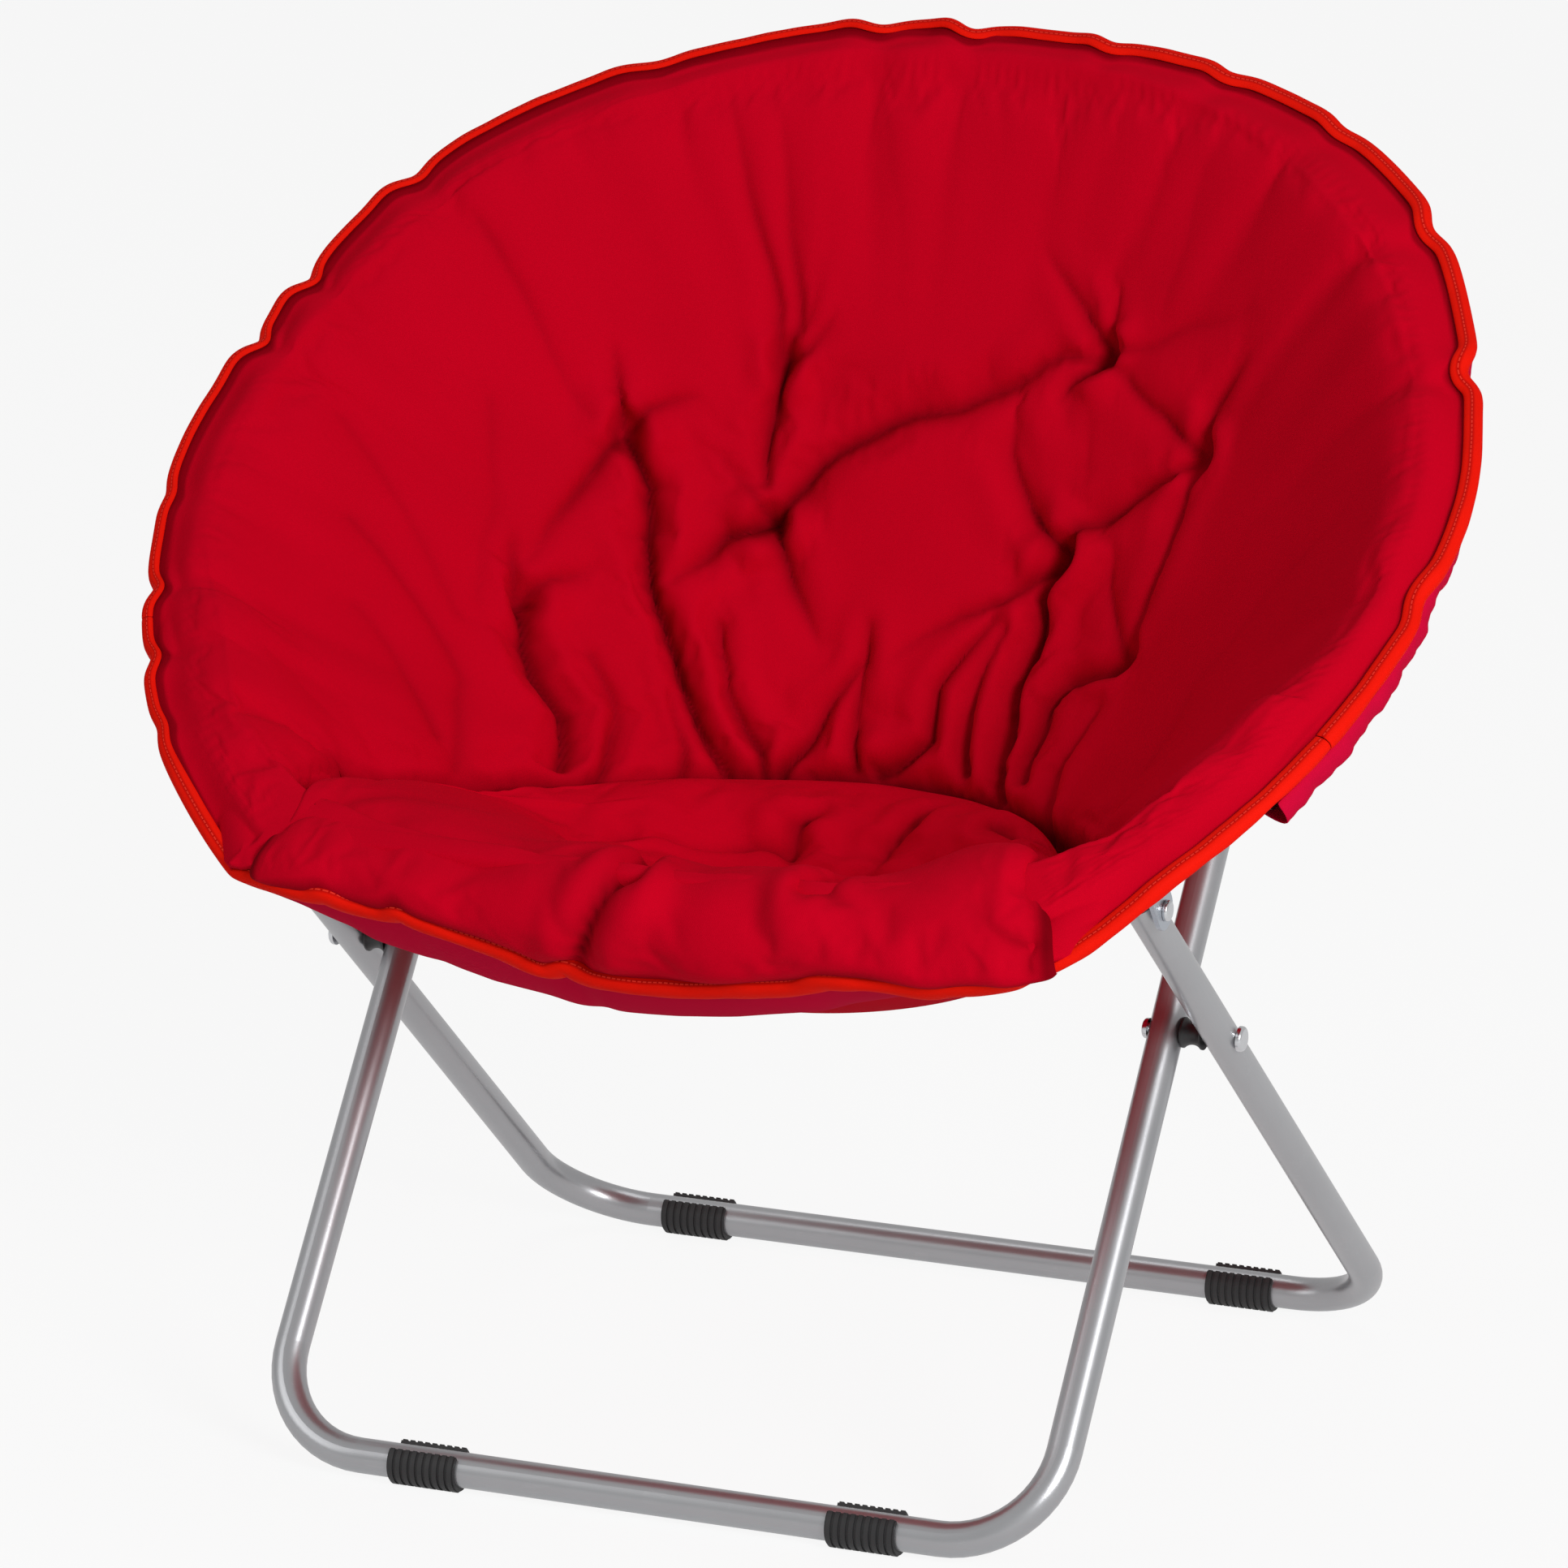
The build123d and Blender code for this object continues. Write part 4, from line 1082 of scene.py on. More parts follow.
        # folds and tufts sink the skin behind the crease, and the seat panel's bed before it;
        # rho is 1 at the bowl's inner edge
        drop, mask = self.carve(x, t)
        rho, _, _ = self.shares(x, t)
        fade = 1 - smoothstep(0.93, 1.0, rho)
        past = t - self.crease_t(x)
        behind = smoothstep(-14, 22, past)
        in_seat = (1 - behind) * (1 - smoothstep(246, 262, np.abs(x)))
        in_width = 1 - smoothstep(236, 270, np.abs(x))
        ditch = self.ditch * bell(past, -4, 16) * in_width
        down = fade * (drop * (0.15 + 0.85 * behind) + ditch + self.under_seat * in_seat)
        lift = self.ripple(x, t) * (1 - 0.6 * smoothstep(1.0, 1.05, rho))
        points = np.stack([x, t, self.lying(x, t)], -1) + self.slope(x, t) * (lift - down)[..., None]
        # the skin runs out to the outline, over the rim tubes
        near = smoothstep(0.925, 0.978, share)
        points[..., 2] = points[..., 2] * (1 - near) + edge[..., 2] * near
        gap = HOOPS.distance(points[..., 0], points[..., 1])
        over_tube = self.outer_crown - self.tube_bend * gap**2 + self.outer_block * HOOPS.block(x, t)
        points[..., 2] = np.maximum(points[..., 2], np.where(share > 0.85, over_tube, DEEP))
        low = points.copy()
        low[..., 2] = self.underside(x, t, points[..., 2])
        ease = smoothstep(0.90, 0.985, share)
        low[..., 2] = low[..., 2] * (1 - ease) + (points[..., 2] - self.rim_thick) * ease
        held = np.clip(smoothstep(0.90, 0.94, share) + smoothstep(0.45, 0.8, mask) + in_seat, 0, 1)
        # painted shade in the folds and along the crease, and painted shadow under the tape at the sides
        ditch_shade = 0.62 * bell(past, 2, 9) * in_width
        dark = np.clip((0.92 * mask * behind + ditch_shade) * fade, 0, 1)
        along_side = smoothstep(-48, -40, angle) * smoothstep(228, 220, angle)
        shadow = 0.6 * smoothstep(0.971, 0.977, share) * along_side
        return points, low, np.maximum(dark, shadow), held

    def edge_points(self, angle: ndarray) -> ndarray:
        """Edge of the bowl at each angle: the cover's outline, and a line behind the front lip."""
        side = OUTLINE.side_points(np.clip(angle, OUTLINE.right_corner, OUTLINE.left_corner))
        a = np.radians(angle)
        lip_x = np.cos(a) / np.minimum(np.sin(a), -0.2) * self.lip_t
        lip_n = self.lip_n - self.lip_sag * (1 - np.clip(np.abs(lip_x) / self.lip_half, 0, 1) ** 4)
        front = np.stack([lip_x, np.full(a.shape, self.lip_t), lip_n], -1)
        is_front = (angle < OUTLINE.right_corner) | (angle > OUTLINE.left_corner)
        return np.where(is_front[..., None], front, side)

    def slope(self, x: ndarray, t: ndarray) -> ndarray:
        """Unit direction square to the plain lying skin."""
        step = self.slope_step
        gx = (self.lying(x + step, t) - self.lying(x - step, t)) / (2 * step)
        gt = (self.lying(x, t + step) - self.lying(x, t - step)) / (2 * step)
        return unit(np.stack([-gx, -gt, np.ones(x.shape)], -1))

    def swelling(self) -> ndarray:
        """Move of each point of the fine skin as the filling puffs the bowl up."""
        top, _, mask, held = self.skin(self.coarse_grid)
        points = top.reshape(-1, 3)
        quads = grid_quads(self.coarse_grid, self.coarse_grid)
        skin = make_piece("bowl_skin", points, quads, points[:, :2], mask.ravel())
        self.run.fill(skin, held.ravel())
        moved = (read_points(skin) - points).reshape(top.shape)
        bpy.data.objects.remove(skin)
        place, coarse = np.linspace(0, 1, self.fine_grid), np.linspace(0, 1, self.coarse_grid)
        for axis in (0, 1):
            moved = np.apply_along_axis(lambda row: np.interp(place, coarse, row), axis, moved)
        return moved

    def build(self) -> Object:
        """Make the whole bowl as one closed cushion."""
        top, low, mask, _ = self.skin(self.fine_grid)
        top = top + self.swelling()
        flat = np.concatenate([top, low])[..., :2].reshape(-1, 2) * self.cloth_ease
        return closed_shell("bowl_whole", top, low, flat, mask, low_slot=1, flipped=False)


# ---------------------------------------------------------------- the seat cushion
@dataclass
class SeatCushion:
    """Puffy seat panel: from the front lip over the front bar and down to the back's crease.

    Each side knot holds t and the half widths at the right and at the left. Each puff holds its
    middle in x and t, its size in both and its height.
    """

    half_width: float = 250.0
    side_knots: Triples = (
        (-400, 272, 266), (-330, 274, 254), (-305, 266, 246), (-250, 240, 238), (-205, 222, 232),
        (-150, 204, 224), (0, 196, 224),
    )
    columns: int = 141
    rows: int = 121
    lip_thick: float = 5.0
    bar_thick: float = 9.0
    seat_thick: float = 40.0
    under_thick: float = 2.5
    back_start_t: float = -272.0
    sunk: float = 6.0
    bar_n: float = 21.0
    bar_swell: float = 4.0
    column_turn: float = 1.32
    row_crowding: float = 0.055
    bowl: Bowl = field(default_factory=Bowl)
    run: ClothRun = field(default_factory=lambda: ClothRun(4.0, 8.0, 0.025))
    folds: tuple[Crease, ...] = (
        Crease(((-2, -300), (-20, -328), (-38, -352), (-46, -392)), 12, 7, 0.8),
        Crease(((-2, -300), (-16, -272), (-48, -262)), 11, 8),
        Crease(((-48, -322), (-30, -350), (-22, -388)), 5, 8, 0.6, 0.4),
        Crease(((112, -296), (116, -268), (104, -232), (70, -205)), 14, 8, 0.4),
        Crease(((112, -296), (128, -310), (150, -316)), 7, 7),
        Crease(((-20, -75), (-28, -110), (-12, -150)), 13, 8),
        Crease(((55, -55), (40, -105), (28, -140)), 14, 8),
        Crease(((28, -140), (60, -165), (95, -170)), 11, 8),
        Crease(((-28, -110), (-70, -130), (-120, -150)), 9, 9),
        Crease(((118, -85), (150, -110), (188, -125)), 11, 7, 0.4),
        Crease(((188, -125), (150, -150), (140, -200)), 11, 8),
        Crease(((-120, -150), (-135, -200), (-120, -245)), 9, 9, 0.4),
        Crease(((240, -318), (222, -312), (205, -300)), 8, 10),
        Crease(((238, -330), (243, -300), (243, -250), (238, -205)), 6, 7, 0.6),
        Crease(((-238, -300), (-205, -272), (-160, -262)), 4, 12, 0.3),
        Crease(((-205, -345), (-190, -330), (-150, -322)), 3, 10),
        Crease(((200, -395), (205, -365), (190, -335)), 3, 9),
        Crease(((70, -395), (78, -365), (98, -340)), 3, 9),
    )
    puffs: tuple[tuple[float, float, float, float, float], ...] = (
        (-150, -265, 62, 32, 10), (-45, -283, 42, 26, 8), (62, -262, 42, 34, 9),
        (118, -272, 15, 24, -9), (190, -262, 44, 34, 13), (-70, -80, 45, 35, 3),
        (20, -60, 40, 30, 6), (95, -80, 40, 30, 7), (-150, -130, 45, 35, 0), (165, -160, 40, 35, 7),
        (60, -345, 70, 26, 6), (175, -345, 45, 26, 5), (-110, -345, 60, 24, 4),
    )

    def spread(self, place: float, t: ndarray) -> ndarray:
        """Share by which the panel is wider or narrower than its middle width at t."""
        rows = np.array(self.side_knots)
        width = np.interp(t, rows[:, 0], rows[:, 1 if place > 0 else 2]) / self.half_width
        return 1 + (width - 1) * (abs(place) / self.half_width) ** 2

    def base(self, x: ndarray, share: ndarray) -> tuple[ndarray, ndarray, ndarray]:
        """Path of the panel at each x.

        Args:
            x: places across the chair.
            share: places along the path, from 0 at the lip to 1 at the crease.

        Returns:
            Points, directions square to the panel, and the unrolled t of each point.
        """
        lip = OUTLINE.lip_points(401)[::-1]
        lip_t, lip_n = (np.interp(x, lip[:, 0], lip[:, k]) for k in (1, 2))
        out, normal, unrolled = [], [], []
        for i, place in enumerate(x):
            ts = np.linspace(self.back_start_t, float(self.bowl.crease_t(np.array(place))) + 6.0, 26)
            ns = self.bowl.lying(place * self.spread(place, ts), ts) - self.sunk
            crown = self.bar_n + self.bar_swell * (1 - (place / self.half_width) ** 2)
            t0, n0 = lip_t[i], lip_n[i]
            front = [
                (t0 + 2, n0 + 2), (t0 - 5, n0 * 0.55 - 2), (-333, 10),
                (-322, crown - 3), (-306, crown), (-289, crown - 9),
            ]
            path = smoothed(np.array(front + list(zip(ts, np.minimum(ns, crown - 12))), float), 3)
            step = np.hypot(*(path[1:] - path[:-1]).T)
            run = np.concatenate([[0], np.cumsum(step)])
            bar_run = np.interp(HOOPS.bar_t, path[3:7, 0], run[3:7])
            s = share * run[-1]
            t, n = (smoothed(np.interp(s, run, path[:, k]), 2) for k in (0, 1))
            dt, dn = np.gradient(t), np.gradient(n)
            size = np.hypot(dt, dn)
            out.append(np.stack([place * self.spread(place, t), t, n], -1))
            normal.append(np.stack([np.zeros(t.shape), -dn / size, dt / size], -1))
            unrolled.append(np.where(s < bar_run, HOOPS.bar_t - (bar_run - s), t))
        return np.array(out), np.array(normal), np.array(unrolled)

    def build(self) -> Object:
        """Make the whole seat panel as one closed cushion."""
        a = np.sin(np.linspace(-1, 1, self.columns) * self.column_turn) / math.sin(self.column_turn)
        w = np.linspace(0, 1, self.rows)
        w = w - self.row_crowding * np.sin(2 * math.pi * w) / math.pi
        x = a * self.half_width
        base, normal, flat_t = self.base(x, w)
        aa, ww = np.meshgrid(a, w, indexing="ij")
        # how the panel rounds off to its sides, to the lip and to the crease
        side = np.clip(1 - np.abs(aa) ** 11, 0, 1) ** 0.5
        head = np.clip(ww / 0.035, 0, 1) ** 0.5
        tail = np.clip((1 - ww) / 0.13, 0, 1) ** 0.5
        # thick over the seat, thinner over the bar and at the lip
        xx = np.repeat(x[:, None], self.rows, 1)
        inside = smoothstep(-300, -215, flat_t)
        face = smoothstep(-390, -315, flat_t)
        thick = self.lip_thick + (self.bar_thick - self.lip_thick) * face
        thick = thick + (self.seat_thick - self.bar_thick) * inside * (1 - 0.35 * np.abs(aa) ** 4)
        # the folds wander a little, so that none of them is a straight line
        wx = xx + 2.5 * np.sin(flat_t / 17.0) + 1.5 * np.sin(flat_t / 8.0 + xx / 21.0)
        wt = flat_t + 2.5 * np.sin(xx / 15.0 + 1.0) + 1.5 * np.sin(xx / 7.0)
        drop, mask = folded(self.folds, wx, wt)
        for px, pt, sx, st, height in self.puffs:
            thick = thick + height * np.exp(-(((xx - px) / sx) ** 2) - ((flat_t - pt) / st) ** 2)
        thick = thick + unevenness(np.random.default_rng(5), 18, (40, 120), 260, xx, flat_t)
        round_off = side * head * tail
        top_lift = np.maximum((thick - drop) * round_off, -1.0)
        top = base + normal * top_lift[..., None]
        low = base - normal * (self.under_thick * round_off)[..., None]
        held = np.clip((np.abs(aa) > 0.96) + (ww < 0.04) + (ww > 0.97) + smoothstep(0.4, 0.75, mask), 0, 1)
        # painted shade in the folds and at both ends, and painted shadow under the front tape
        end_shade = 0.8 * smoothstep(0.962, 0.99, np.abs(aa)) * face
        dark = np.maximum(np.clip(0.85 * mask, 0, 1) * round_off, end_shade)
        fold = np.maximum(dark, 0.5 * (1 - smoothstep(0.015, 0.03, ww)))
        flat = np.stack([xx, flat_t], -1).reshape(-1, 2)
        quads = grid_quads(self.columns, self.rows)[:, ::-1]
        skin = make_piece("seat_skin", top.reshape(-1, 3), quads, flat, fold.ravel())
        self.run.fill(skin, held.ravel())
        filled = read_points(skin).reshape(top.shape)
        bpy.data.objects.remove(skin)
        both = np.concatenate([flat, flat])
        return subdivided(closed_shell("seat_whole", filled, low, both, fold, low_slot=0, flipped=True))


# ---------------------------------------------------------------- binding and pockets
@dataclass
class EdgeTape:
    """Folded tape sewn round the edge of the cover.

    The section's points are places outwards and upwards from the edge. The waves of its puffiness
    hold a height, a length in millimetres and a phase.
    """

    section: Pairs = (
        (-8.5, 1.6), (-7.5, 2.8), (-4.5, 3.7), (-1.5, 3.5), (1.2, 2.2), (2.2, -0.8), (1.4, -4.4),
        (-2.0, -7.0), (-8.0, -8.4),
    )
    thickness: float = 1.2
    lip_growth: float = 0.75
    slim_inside: float = 0.62
    lip_out: float = 4.5
    pitch: float = 3.2
    middle: Triple = (0.0, -20.0, 0.0)
    lip_way: Triple = (0.0, -1.0, -0.35)
    waves: Triples = ((0.10, 9.0, 0.0), (0.08, 23.0, 1.0), (0.05, 4.1, 0.0))

    def line(self, half: Half) -> ndarray:
        """Closely spaced points of the edge that the tape follows on one side of the hinge."""
        angle = np.linspace(OUTLINE.right_corner, OUTLINE.left_corner, 1400)
        side = OUTLINE.side_points(angle)
        if half is Half.BACK:
            return side[side[:, 1] > HOOPS.hinge_t - 0.8]
        keep = side[:, 1] <= HOOPS.hinge_t + 0.8
        left = side[keep & (side[:, 0] < 0)]
        right = side[keep & (side[:, 0] > 0)]
        lip = OUTLINE.lip_points(360)[::-1]
        return smoothed(np.concatenate([left, lip[1:-1], right]), 6)

    def build(self, name: str, half: Half) -> Object:
        """Make the tape of one half.

        Args:
            name: the piece's name.
            half: which side of the hinge.

        Returns:
            The tape.
        """
        line = self.line(half)
        step = np.linalg.norm(line[1:] - line[:-1], axis=1)
        run = np.concatenate([[0], np.cumsum(step)])
        count = int(run[-1] / self.pitch)
        s = np.linspace(0, run[-1], count)
        path = np.stack([np.interp(s, run, line[:, k]) for k in range(3)], -1)
        ahead = unit(np.gradient(path, axis=0))
        lip_share = smoothstep(-318, -330, path[:, 1])[:, None]
        out = (path - self.middle) * (1 - lip_share) + np.array(self.lip_way) * 400 * lip_share
        out = unit(out - np.sum(out * ahead, 1, keepdims=True) * ahead)
        up = np.cross(ahead, out)
        up *= np.sign(up[:, 2:3] + 1e-9)
        shape = np.array(self.section)
        puff = 1 + sum(height * np.sin(s / length + phase) for height, length, phase in self.waves)
        puff = puff * (1 + self.lip_growth * lip_share[:, 0])
        angle = np.degrees(np.arctan2(path[:, 1], path[:, 0])) % 360
        slim = 1 - (1 - self.slim_inside) * smoothstep(70, 110, angle) * smoothstep(222, 212, angle)
        reach = np.where(shape[:, 0] < 0, shape[:, 0] * slim[:, None], shape[:, 0]) + self.lip_out * lip_share
        rise = shape[:, 1] * puff[:, None]
        rows = path[:, None] + out[:, None] * reach[..., None] + up[:, None] * rise[..., None]
        across = np.concatenate([[0], np.cumsum(np.hypot(*(shape[1:] - shape[:-1]).T))])
        flat = np.stack(np.broadcast_arrays(s[:, None], across[None, :]), -1).reshape(-1, 2)
        tape = make_piece(name, rows.reshape(-1, 3), grid_quads(count, len(shape)), flat)
        only(tape)
        bpy.ops.object.mode_set(mode="EDIT")
        bpy.ops.mesh.select_all(action="SELECT")
        bpy.ops.mesh.normals_make_consistent(inside=False)
        bpy.ops.object.mode_set(mode="OBJECT")
        subdivided(thickened(tape, self.thickness))
        return tape


@dataclass
class HoopSleeve:
    """Crimson pocket that closes round a hoop under the cover's edge.

    The back profile runs from the edge round the hoop and back under it. Each stop holds the share
    of the way from the edge to the hoop's outside, a shift outwards and a rise.
    """

    from_angle: float = -27.0
    to_angle: float = 204.5
    thickness: float = 1.4
    over_hoop: float = 13.5
    wrinkles: Triples = ((1.6, 0.9, 0.0), (1.0, 2.3, 1.0), (0.7, 5.1, 2.0))
    profile: Triples = (
        (0.0, -1.0, 0), (0.35, 1.0, -4), (0.7, 1.0, -10), (0.9, 0.0, -16), (1.0, -6.0, -20),
        (1.0, -16.0, -21.5), (1.0, -30.0, -21), (1.0, -42.0, -20.0), (1.0, -52.0, -18.0),
    )
    under_bar_t: Triple = (-327.0, -305.0, -258.0)
    belly_knots: Pairs = (
        (-262, -14), (-230, -46), (-190, -94), (-120, -127), (-50, -136), (0, -130), (40, -121),
        (100, -102), (150, -76), (200, -42), (262, -12),
    )

    def make(self, name: str, rows: ndarray) -> Object:
        """Turn rows of points into a sheet of cloth."""
        count, width = rows.shape[:2]
        along = np.linalg.norm(np.gradient(rows[:, width // 2], axis=0), axis=1).cumsum()
        across = np.linalg.norm(np.gradient(rows[count // 2], axis=0), axis=1).cumsum()
        flat = np.stack(np.broadcast_arrays(along[:, None], across[None, :]), -1).reshape(-1, 2)
        sleeve = make_piece(name, rows.reshape(-1, 3), grid_quads(count, width), flat)
        subdivided(thickened(sleeve, self.thickness))
        return sleeve

    def back(self, bowl: Bowl) -> Object:
        """Sleeve of the back hoop, open at both ends."""
        angle = np.linspace(self.from_angle, self.to_angle, 520)
        a = np.radians(angle)
        edge = OUTLINE.radius(angle)
        n_edge = OUTLINE.side_height(angle) - 7.0
        ends = smoothstep(-4, self.from_angle + 2, angle)
        wrinkle = sum(height * np.sin(angle * turns + phase) for height, turns, phase in self.wrinkles)
        rows = []
        for blend, shift, drop in self.profile:
            r = edge * (1 - blend) + blend * (HOOPS.back_r + self.over_hoop) + shift
            r = r + 0.8 * wrinkle * math.sin(math.pi * min(1.0, -drop / 26.0))
            r = r + 1.5 * ends * math.sin(math.pi * min(1.0, -drop / 24.0))
            rows.append(np.stack([r * np.cos(a), r * np.sin(a), n_edge + drop], -1))
        rows = np.array(rows).transpose(1, 0, 2)
        for k in (-3, -2, -1):
            x, t = rows[:, k, 0], rows[:, k, 1]
            low = bowl.underside(x, t, bowl.lying(x, t)) - 1.8
            rows[:, k, 2] = np.minimum(rows[:, k, 2], low) if k < -1 else low
        return self.make("back_sleeve", rows)

    def front(self, bowl: Bowl) -> Object:
        """Sleeve under the front bar, from the lip to the underside of the bowl."""
        lip = OUTLINE.lip_points(300)
        lip = lip[np.abs(lip[:, 0]) < HOOPS.bar_half]
        x = lip[:, 0]
        belly = np.interp(x, *np.array(self.belly_knots, float).T)
        before, under, behind = (np.full(x.shape, t) for t in self.under_bar_t)
        low = bowl.underside(x, behind, bowl.lying(x, behind)) - 2.5
        stops = np.array([
            [lip[:, 1] + 3, lip[:, 2] - 7],
            [before, 0.45 * (lip[:, 2] - 7) + 0.55 * belly],
            [under, belly],
            [behind, np.minimum(low, 0.4 * belly + 0.6 * low)],
        ])
        rows = [np.stack([x, *bezier(stops, share)], -1) for share in np.linspace(0, 1, 17)]
        rows = np.array(rows).transpose(1, 0, 2)
        return self.make("front_sleeve", rows)


def bezier(stops: ndarray, share: float) -> ndarray:
    """Point at share of a smooth curve that four stops pull on."""
    a, b, c, d = stops
    rest = 1 - share
    return rest**3 * a + 3 * rest * rest * share * b + 3 * rest * share**2 * c + share**3 * d


# ---------------------------------------------------------------- dressing and assembly
@dataclass
class CoverAssembly:
    """The whole cover: cushions cut at the rim hinge, tapes and sleeves."""

    level: float = 12.0
    keep: tuple[tuple[Half, float], ...] = ((Half.BACK, 0.12), (Half.FRONT, 0.35))

    def finish_piece(
        self, piece: Object, half: Half, finishes: list[Material],
        nodes: tuple[str, ...], flattens: bool = True,
    ) -> None:
        """Dress a cloth piece, fix it to its hoop and, if asked, give it a mesh of its own.

        Args:
            piece: the cloth piece.
            half: the hoop that it rides on.
            finishes: its materials.
            nodes: the nodes of the solid model that it stands for.
            flattens: whether it gets a mesh of its own; it is meant for pieces that folding presses flat,
                which a piece close round the tube isn't.
        """
        piece.data.materials.clear()
        for material in finishes:
            piece.data.materials.append(material)
        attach(piece, half.value)
        if flattens:
            RIM.anchor(self.level)
            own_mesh(piece)
        if nodes:
            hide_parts(*nodes)
        LOG.info("%s: %d faces, rides on %s", piece.name, len(piece.data.polygons), half.value)

    def build(self) -> None:
        """Make and dress every cloth piece."""
        pad, shell, tape = PAD_RED.build(), SHELL_CRIMSON.build(), TAPE_RED.build()
        bowl = Bowl()
        whole = bowl.build()
        back = cut_half(whole, "back_cushion", Half.BACK)
        front = cut_half(whole, "seat_shell", Half.FRONT)
        bpy.data.objects.remove(whole)
        for piece, half, node in ((back, Half.BACK, "back_pad"), (front, Half.FRONT, "seat_pad")):
            self.finish_piece(piece, half, [pad, shell], (node,))
        seat = SeatCushion(bowl=bowl).build()
        rear = cut_half(seat, "seat_cushion_rear", Half.BACK)
        fore = cut_half(seat, "seat_cushion_front", Half.FRONT)
        bpy.data.objects.remove(seat)
        for piece, half, nodes in ((rear, Half.BACK, ()), (fore, Half.FRONT, ("front_roll",))):
            self.finish_piece(piece, half, [pad, shell], nodes)
        edge = EdgeTape()
        back_tape = edge.build("back_tape", Half.BACK)
        front_tape = edge.build("front_tape", Half.FRONT)
        self.finish_piece(back_tape, Half.BACK, [tape], ("back_binding",), False)
        self.finish_piece(front_tape, Half.FRONT, [tape], ("front_binding",))
        sleeves = HoopSleeve()
        self.finish_piece(sleeves.back(bowl), Half.BACK, [shell], ("back_pocket",), False)
        self.finish_piece(sleeves.front(bowl), Half.FRONT, [shell], ("front_pocket",))


@dataclass
class FrameDress:
    """Finishes of the frame's own parts, by the start of their names: the first that fits counts."""

    starts: tuple[tuple[str, tuple[str, ...]], ...] = (
        ("plastic", ("inner_leg_plug", "outer_leg_plug", "scissor_spacer")),
        ("steel", ("back_hinge_pin", "front_hinge_pin", "front_ear_pin", "back_ear_pin", "scissor_bolt")),
        ("tube", ("inner_leg", "outer_leg", "back_hoop", "front_hoop")),
        ("plastic", ("back_hinge", "front_hinge")),
        ("zinc", ("front_ear", "back_ear")),
        ("rubber", ("front_foot", "rear_foot")),
    )

    def build(self) -> None:
        """Give every shown node of the frame its material."""
        made = {
            "tube": TUBE_SILVER.build(), "zinc": EAR_ZINC.build(), "steel": BRIGHT_STEEL.build(),
            "plastic": BLACK_PLASTIC.build(), "rubber": BLACK_RUBBER.build(),
        }
        for name, node in sorted(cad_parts.items()):
            kind = next((kind for kind, starts in self.starts if name.startswith(starts)), None)
            if kind is None:
                continue
            if not node.material_slots:
                node.data.materials.append(made[kind])
            for place in node.material_slots:
                place.material = made[kind]
            LOG.info("%s: %s", name, kind)


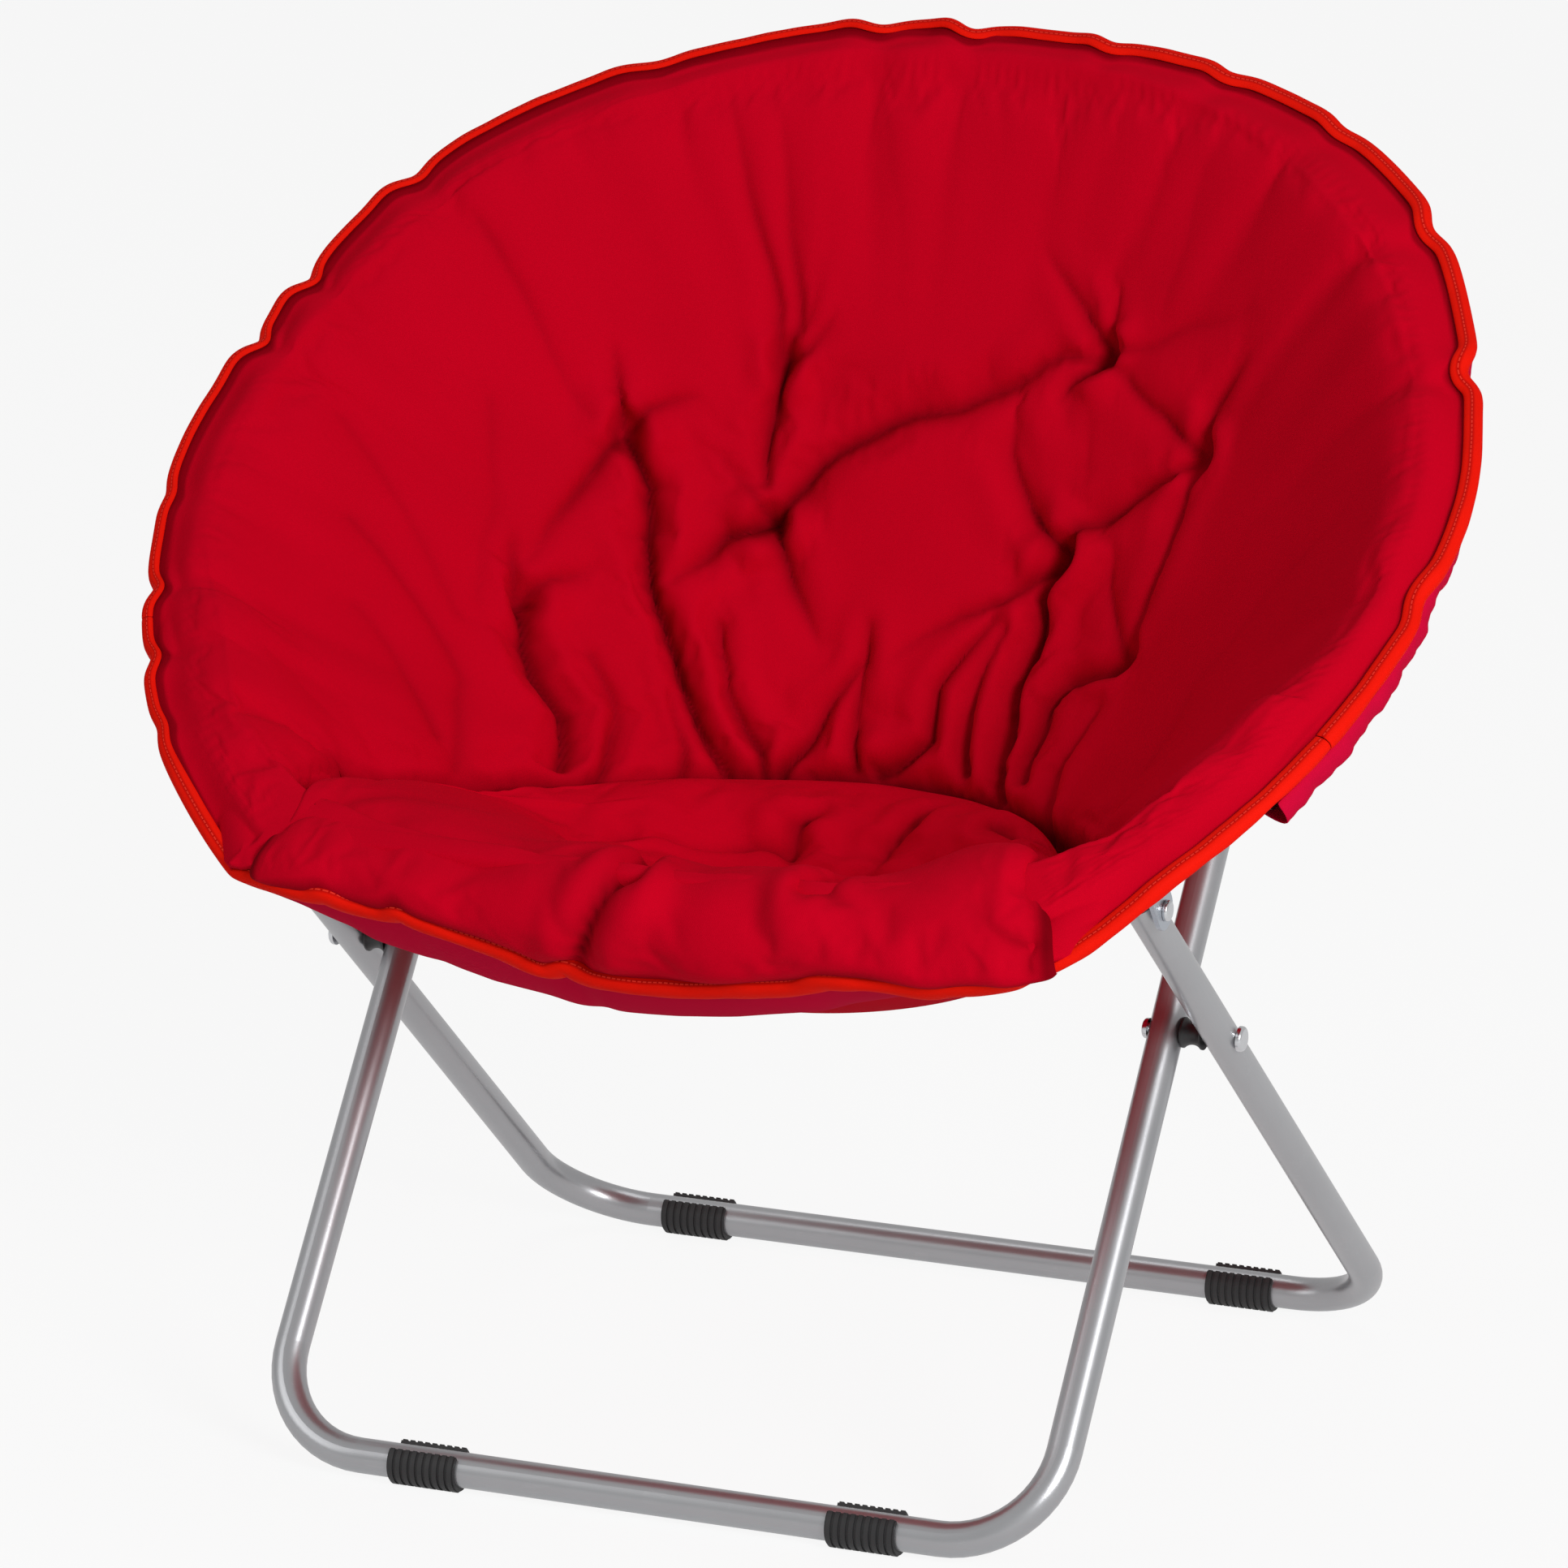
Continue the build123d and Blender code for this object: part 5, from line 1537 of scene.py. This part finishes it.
@dataclass
class Studio:
    """Pale floor, soft lights and the camera.

    A lamp has a name, a place and a size in metres, and a power in watts.
    """

    azimuth: float = 23.06
    elevation: float = 14.75
    distance: float = 5.2
    lens: float = 192.7
    target: Triple = (0.0, -0.069, 0.4)
    shift_right: float = 0.00336
    shift_up: float = 0.0123
    lamp_aim: Triple = (0.0, 0.0, 0.5)
    lamps: tuple[tuple[str, Triple, float, float], ...] = (
        ("key", (2.75, -2.15, 1.7), 1.2, 88.0),
        ("fill", (-2.4, -2.2, 1.6), 1.8, 15.0),
        ("top", (-0.4, 0.6, 2.9), 1.4, 9.0),
    )
    floor_size: float = 14.0
    floor_dark: Colour = (0.80, 0.80, 0.80)
    floor_light: Colour = (0.84, 0.84, 0.84)
    floor_glow: float = 0.9
    floor_in_gloss: float = 0.6
    sky_light: float = 0.24
    sky_in_gloss: float = 0.45

    def camera(self) -> None:
        """Set the camera at the photograph's angle."""
        a, e = math.radians(self.azimuth), math.radians(self.elevation)
        back = Vector((math.sin(a) * math.cos(e), -math.cos(a) * math.cos(e), math.sin(e)))
        right = Vector((math.cos(a), math.sin(a), 0))
        up = back.cross(right)
        aim = Vector(self.target) + right * self.shift_right + up * self.shift_up
        data = bpy.data.cameras.new("camera")
        set_all(data, lens=self.lens, sensor_width=36.0, clip_end=60.0)
        camera = place_object("camera", data)
        turn = Matrix((right, up, back)).transposed()
        camera.matrix_world = Matrix.Translation(aim + back * self.distance) @ turn.to_4x4()
        bpy.context.scene.camera = camera

    def lamp(self, name: str, place: Triple, size: float, power: float) -> None:
        """Add a square soft light that faces the chair."""
        data = bpy.data.lights.new(name, "AREA")
        set_all(data, size=size, energy=power)
        lamp = place_object(name, data)
        lamp.location = place
        lamp.rotation_euler = (Vector(place) - Vector(self.lamp_aim)).to_track_quat("Z", "Y").to_euler()

    def directly_seen(self, tree: NodeTree, in_gloss: float) -> NodeSocket:
        """1 for rays from the camera or through glass, in_gloss for reflections and 0 for other rays."""
        path = tree.nodes.new("ShaderNodeLightPath")
        glossy = maths(tree, "MULTIPLY", path.outputs["Is Glossy Ray"], in_gloss)
        seen = maths(tree, "MAXIMUM", path.outputs["Is Camera Ray"], glossy)
        return maths(tree, "MAXIMUM", seen, path.outputs["Is Transmission Ray"])

    def pale_material(self) -> Material:
        """Pale floor that is white to the camera and in reflections and keeps the shadow."""
        material, tree, shader = start_material("pale_floor")
        place = tree.nodes.new("ShaderNodeTexCoord")
        tone = noise(tree, place.outputs["Object"], 3.0, 3.0)
        colour = colour_mix(tree, tone, self.floor_dark, self.floor_light)
        feed(tree, shader, {"Base Color": colour, "Roughness": 0.9, "Specular IOR Level": 0.1})
        glow = tree.nodes.new("ShaderNodeEmission")
        feed(tree, glow, {"Color": (1, 1, 1, 1)})
        mix = tree.nodes.new("ShaderNodeMixShader")
        share = maths(tree, "MULTIPLY", self.directly_seen(tree, self.floor_in_gloss), self.floor_glow)
        feed(tree, mix, {"Fac": share, 1: shader.outputs[0], 2: glow.outputs[0]})
        feed(tree, tree.nodes["Material Output"], {"Surface": mix.outputs[0]})
        return material

    def world(self) -> None:
        """White background for camera and reflections, softer light on the object."""
        world = bpy.data.worlds.new("studio")
        bpy.context.scene.world = world
        world.use_nodes = True
        tree = world.node_tree
        strength = ranged(tree, self.directly_seen(tree, self.sky_in_gloss), self.sky_light, 1.0)
        feed(tree, tree.nodes["Background"], {"Color": (1, 1, 1, 1), "Strength": strength})

    def build(self) -> None:
        """Make the whole studio."""
        bpy.ops.object.select_all(action="DESELECT")
        bpy.ops.mesh.primitive_plane_add(size=self.floor_size, location=(0, 0, 0))
        floor = bpy.context.object
        floor.name = "floor"
        floor.data.materials.append(self.pale_material())
        self.world()
        for lamp in self.lamps:
            self.lamp(*lamp)
        self.camera()
        bpy.context.scene.view_settings.view_transform = "Standard"


def main() -> None:
    """Build the studio, the frame's finishes and the cover."""
    logging.basicConfig(level=logging.INFO, format="%(name)s: %(message)s")
    Studio().build()
    FrameDress().build()
    CoverAssembly().build()


if __name__ == "__main__":
    main()
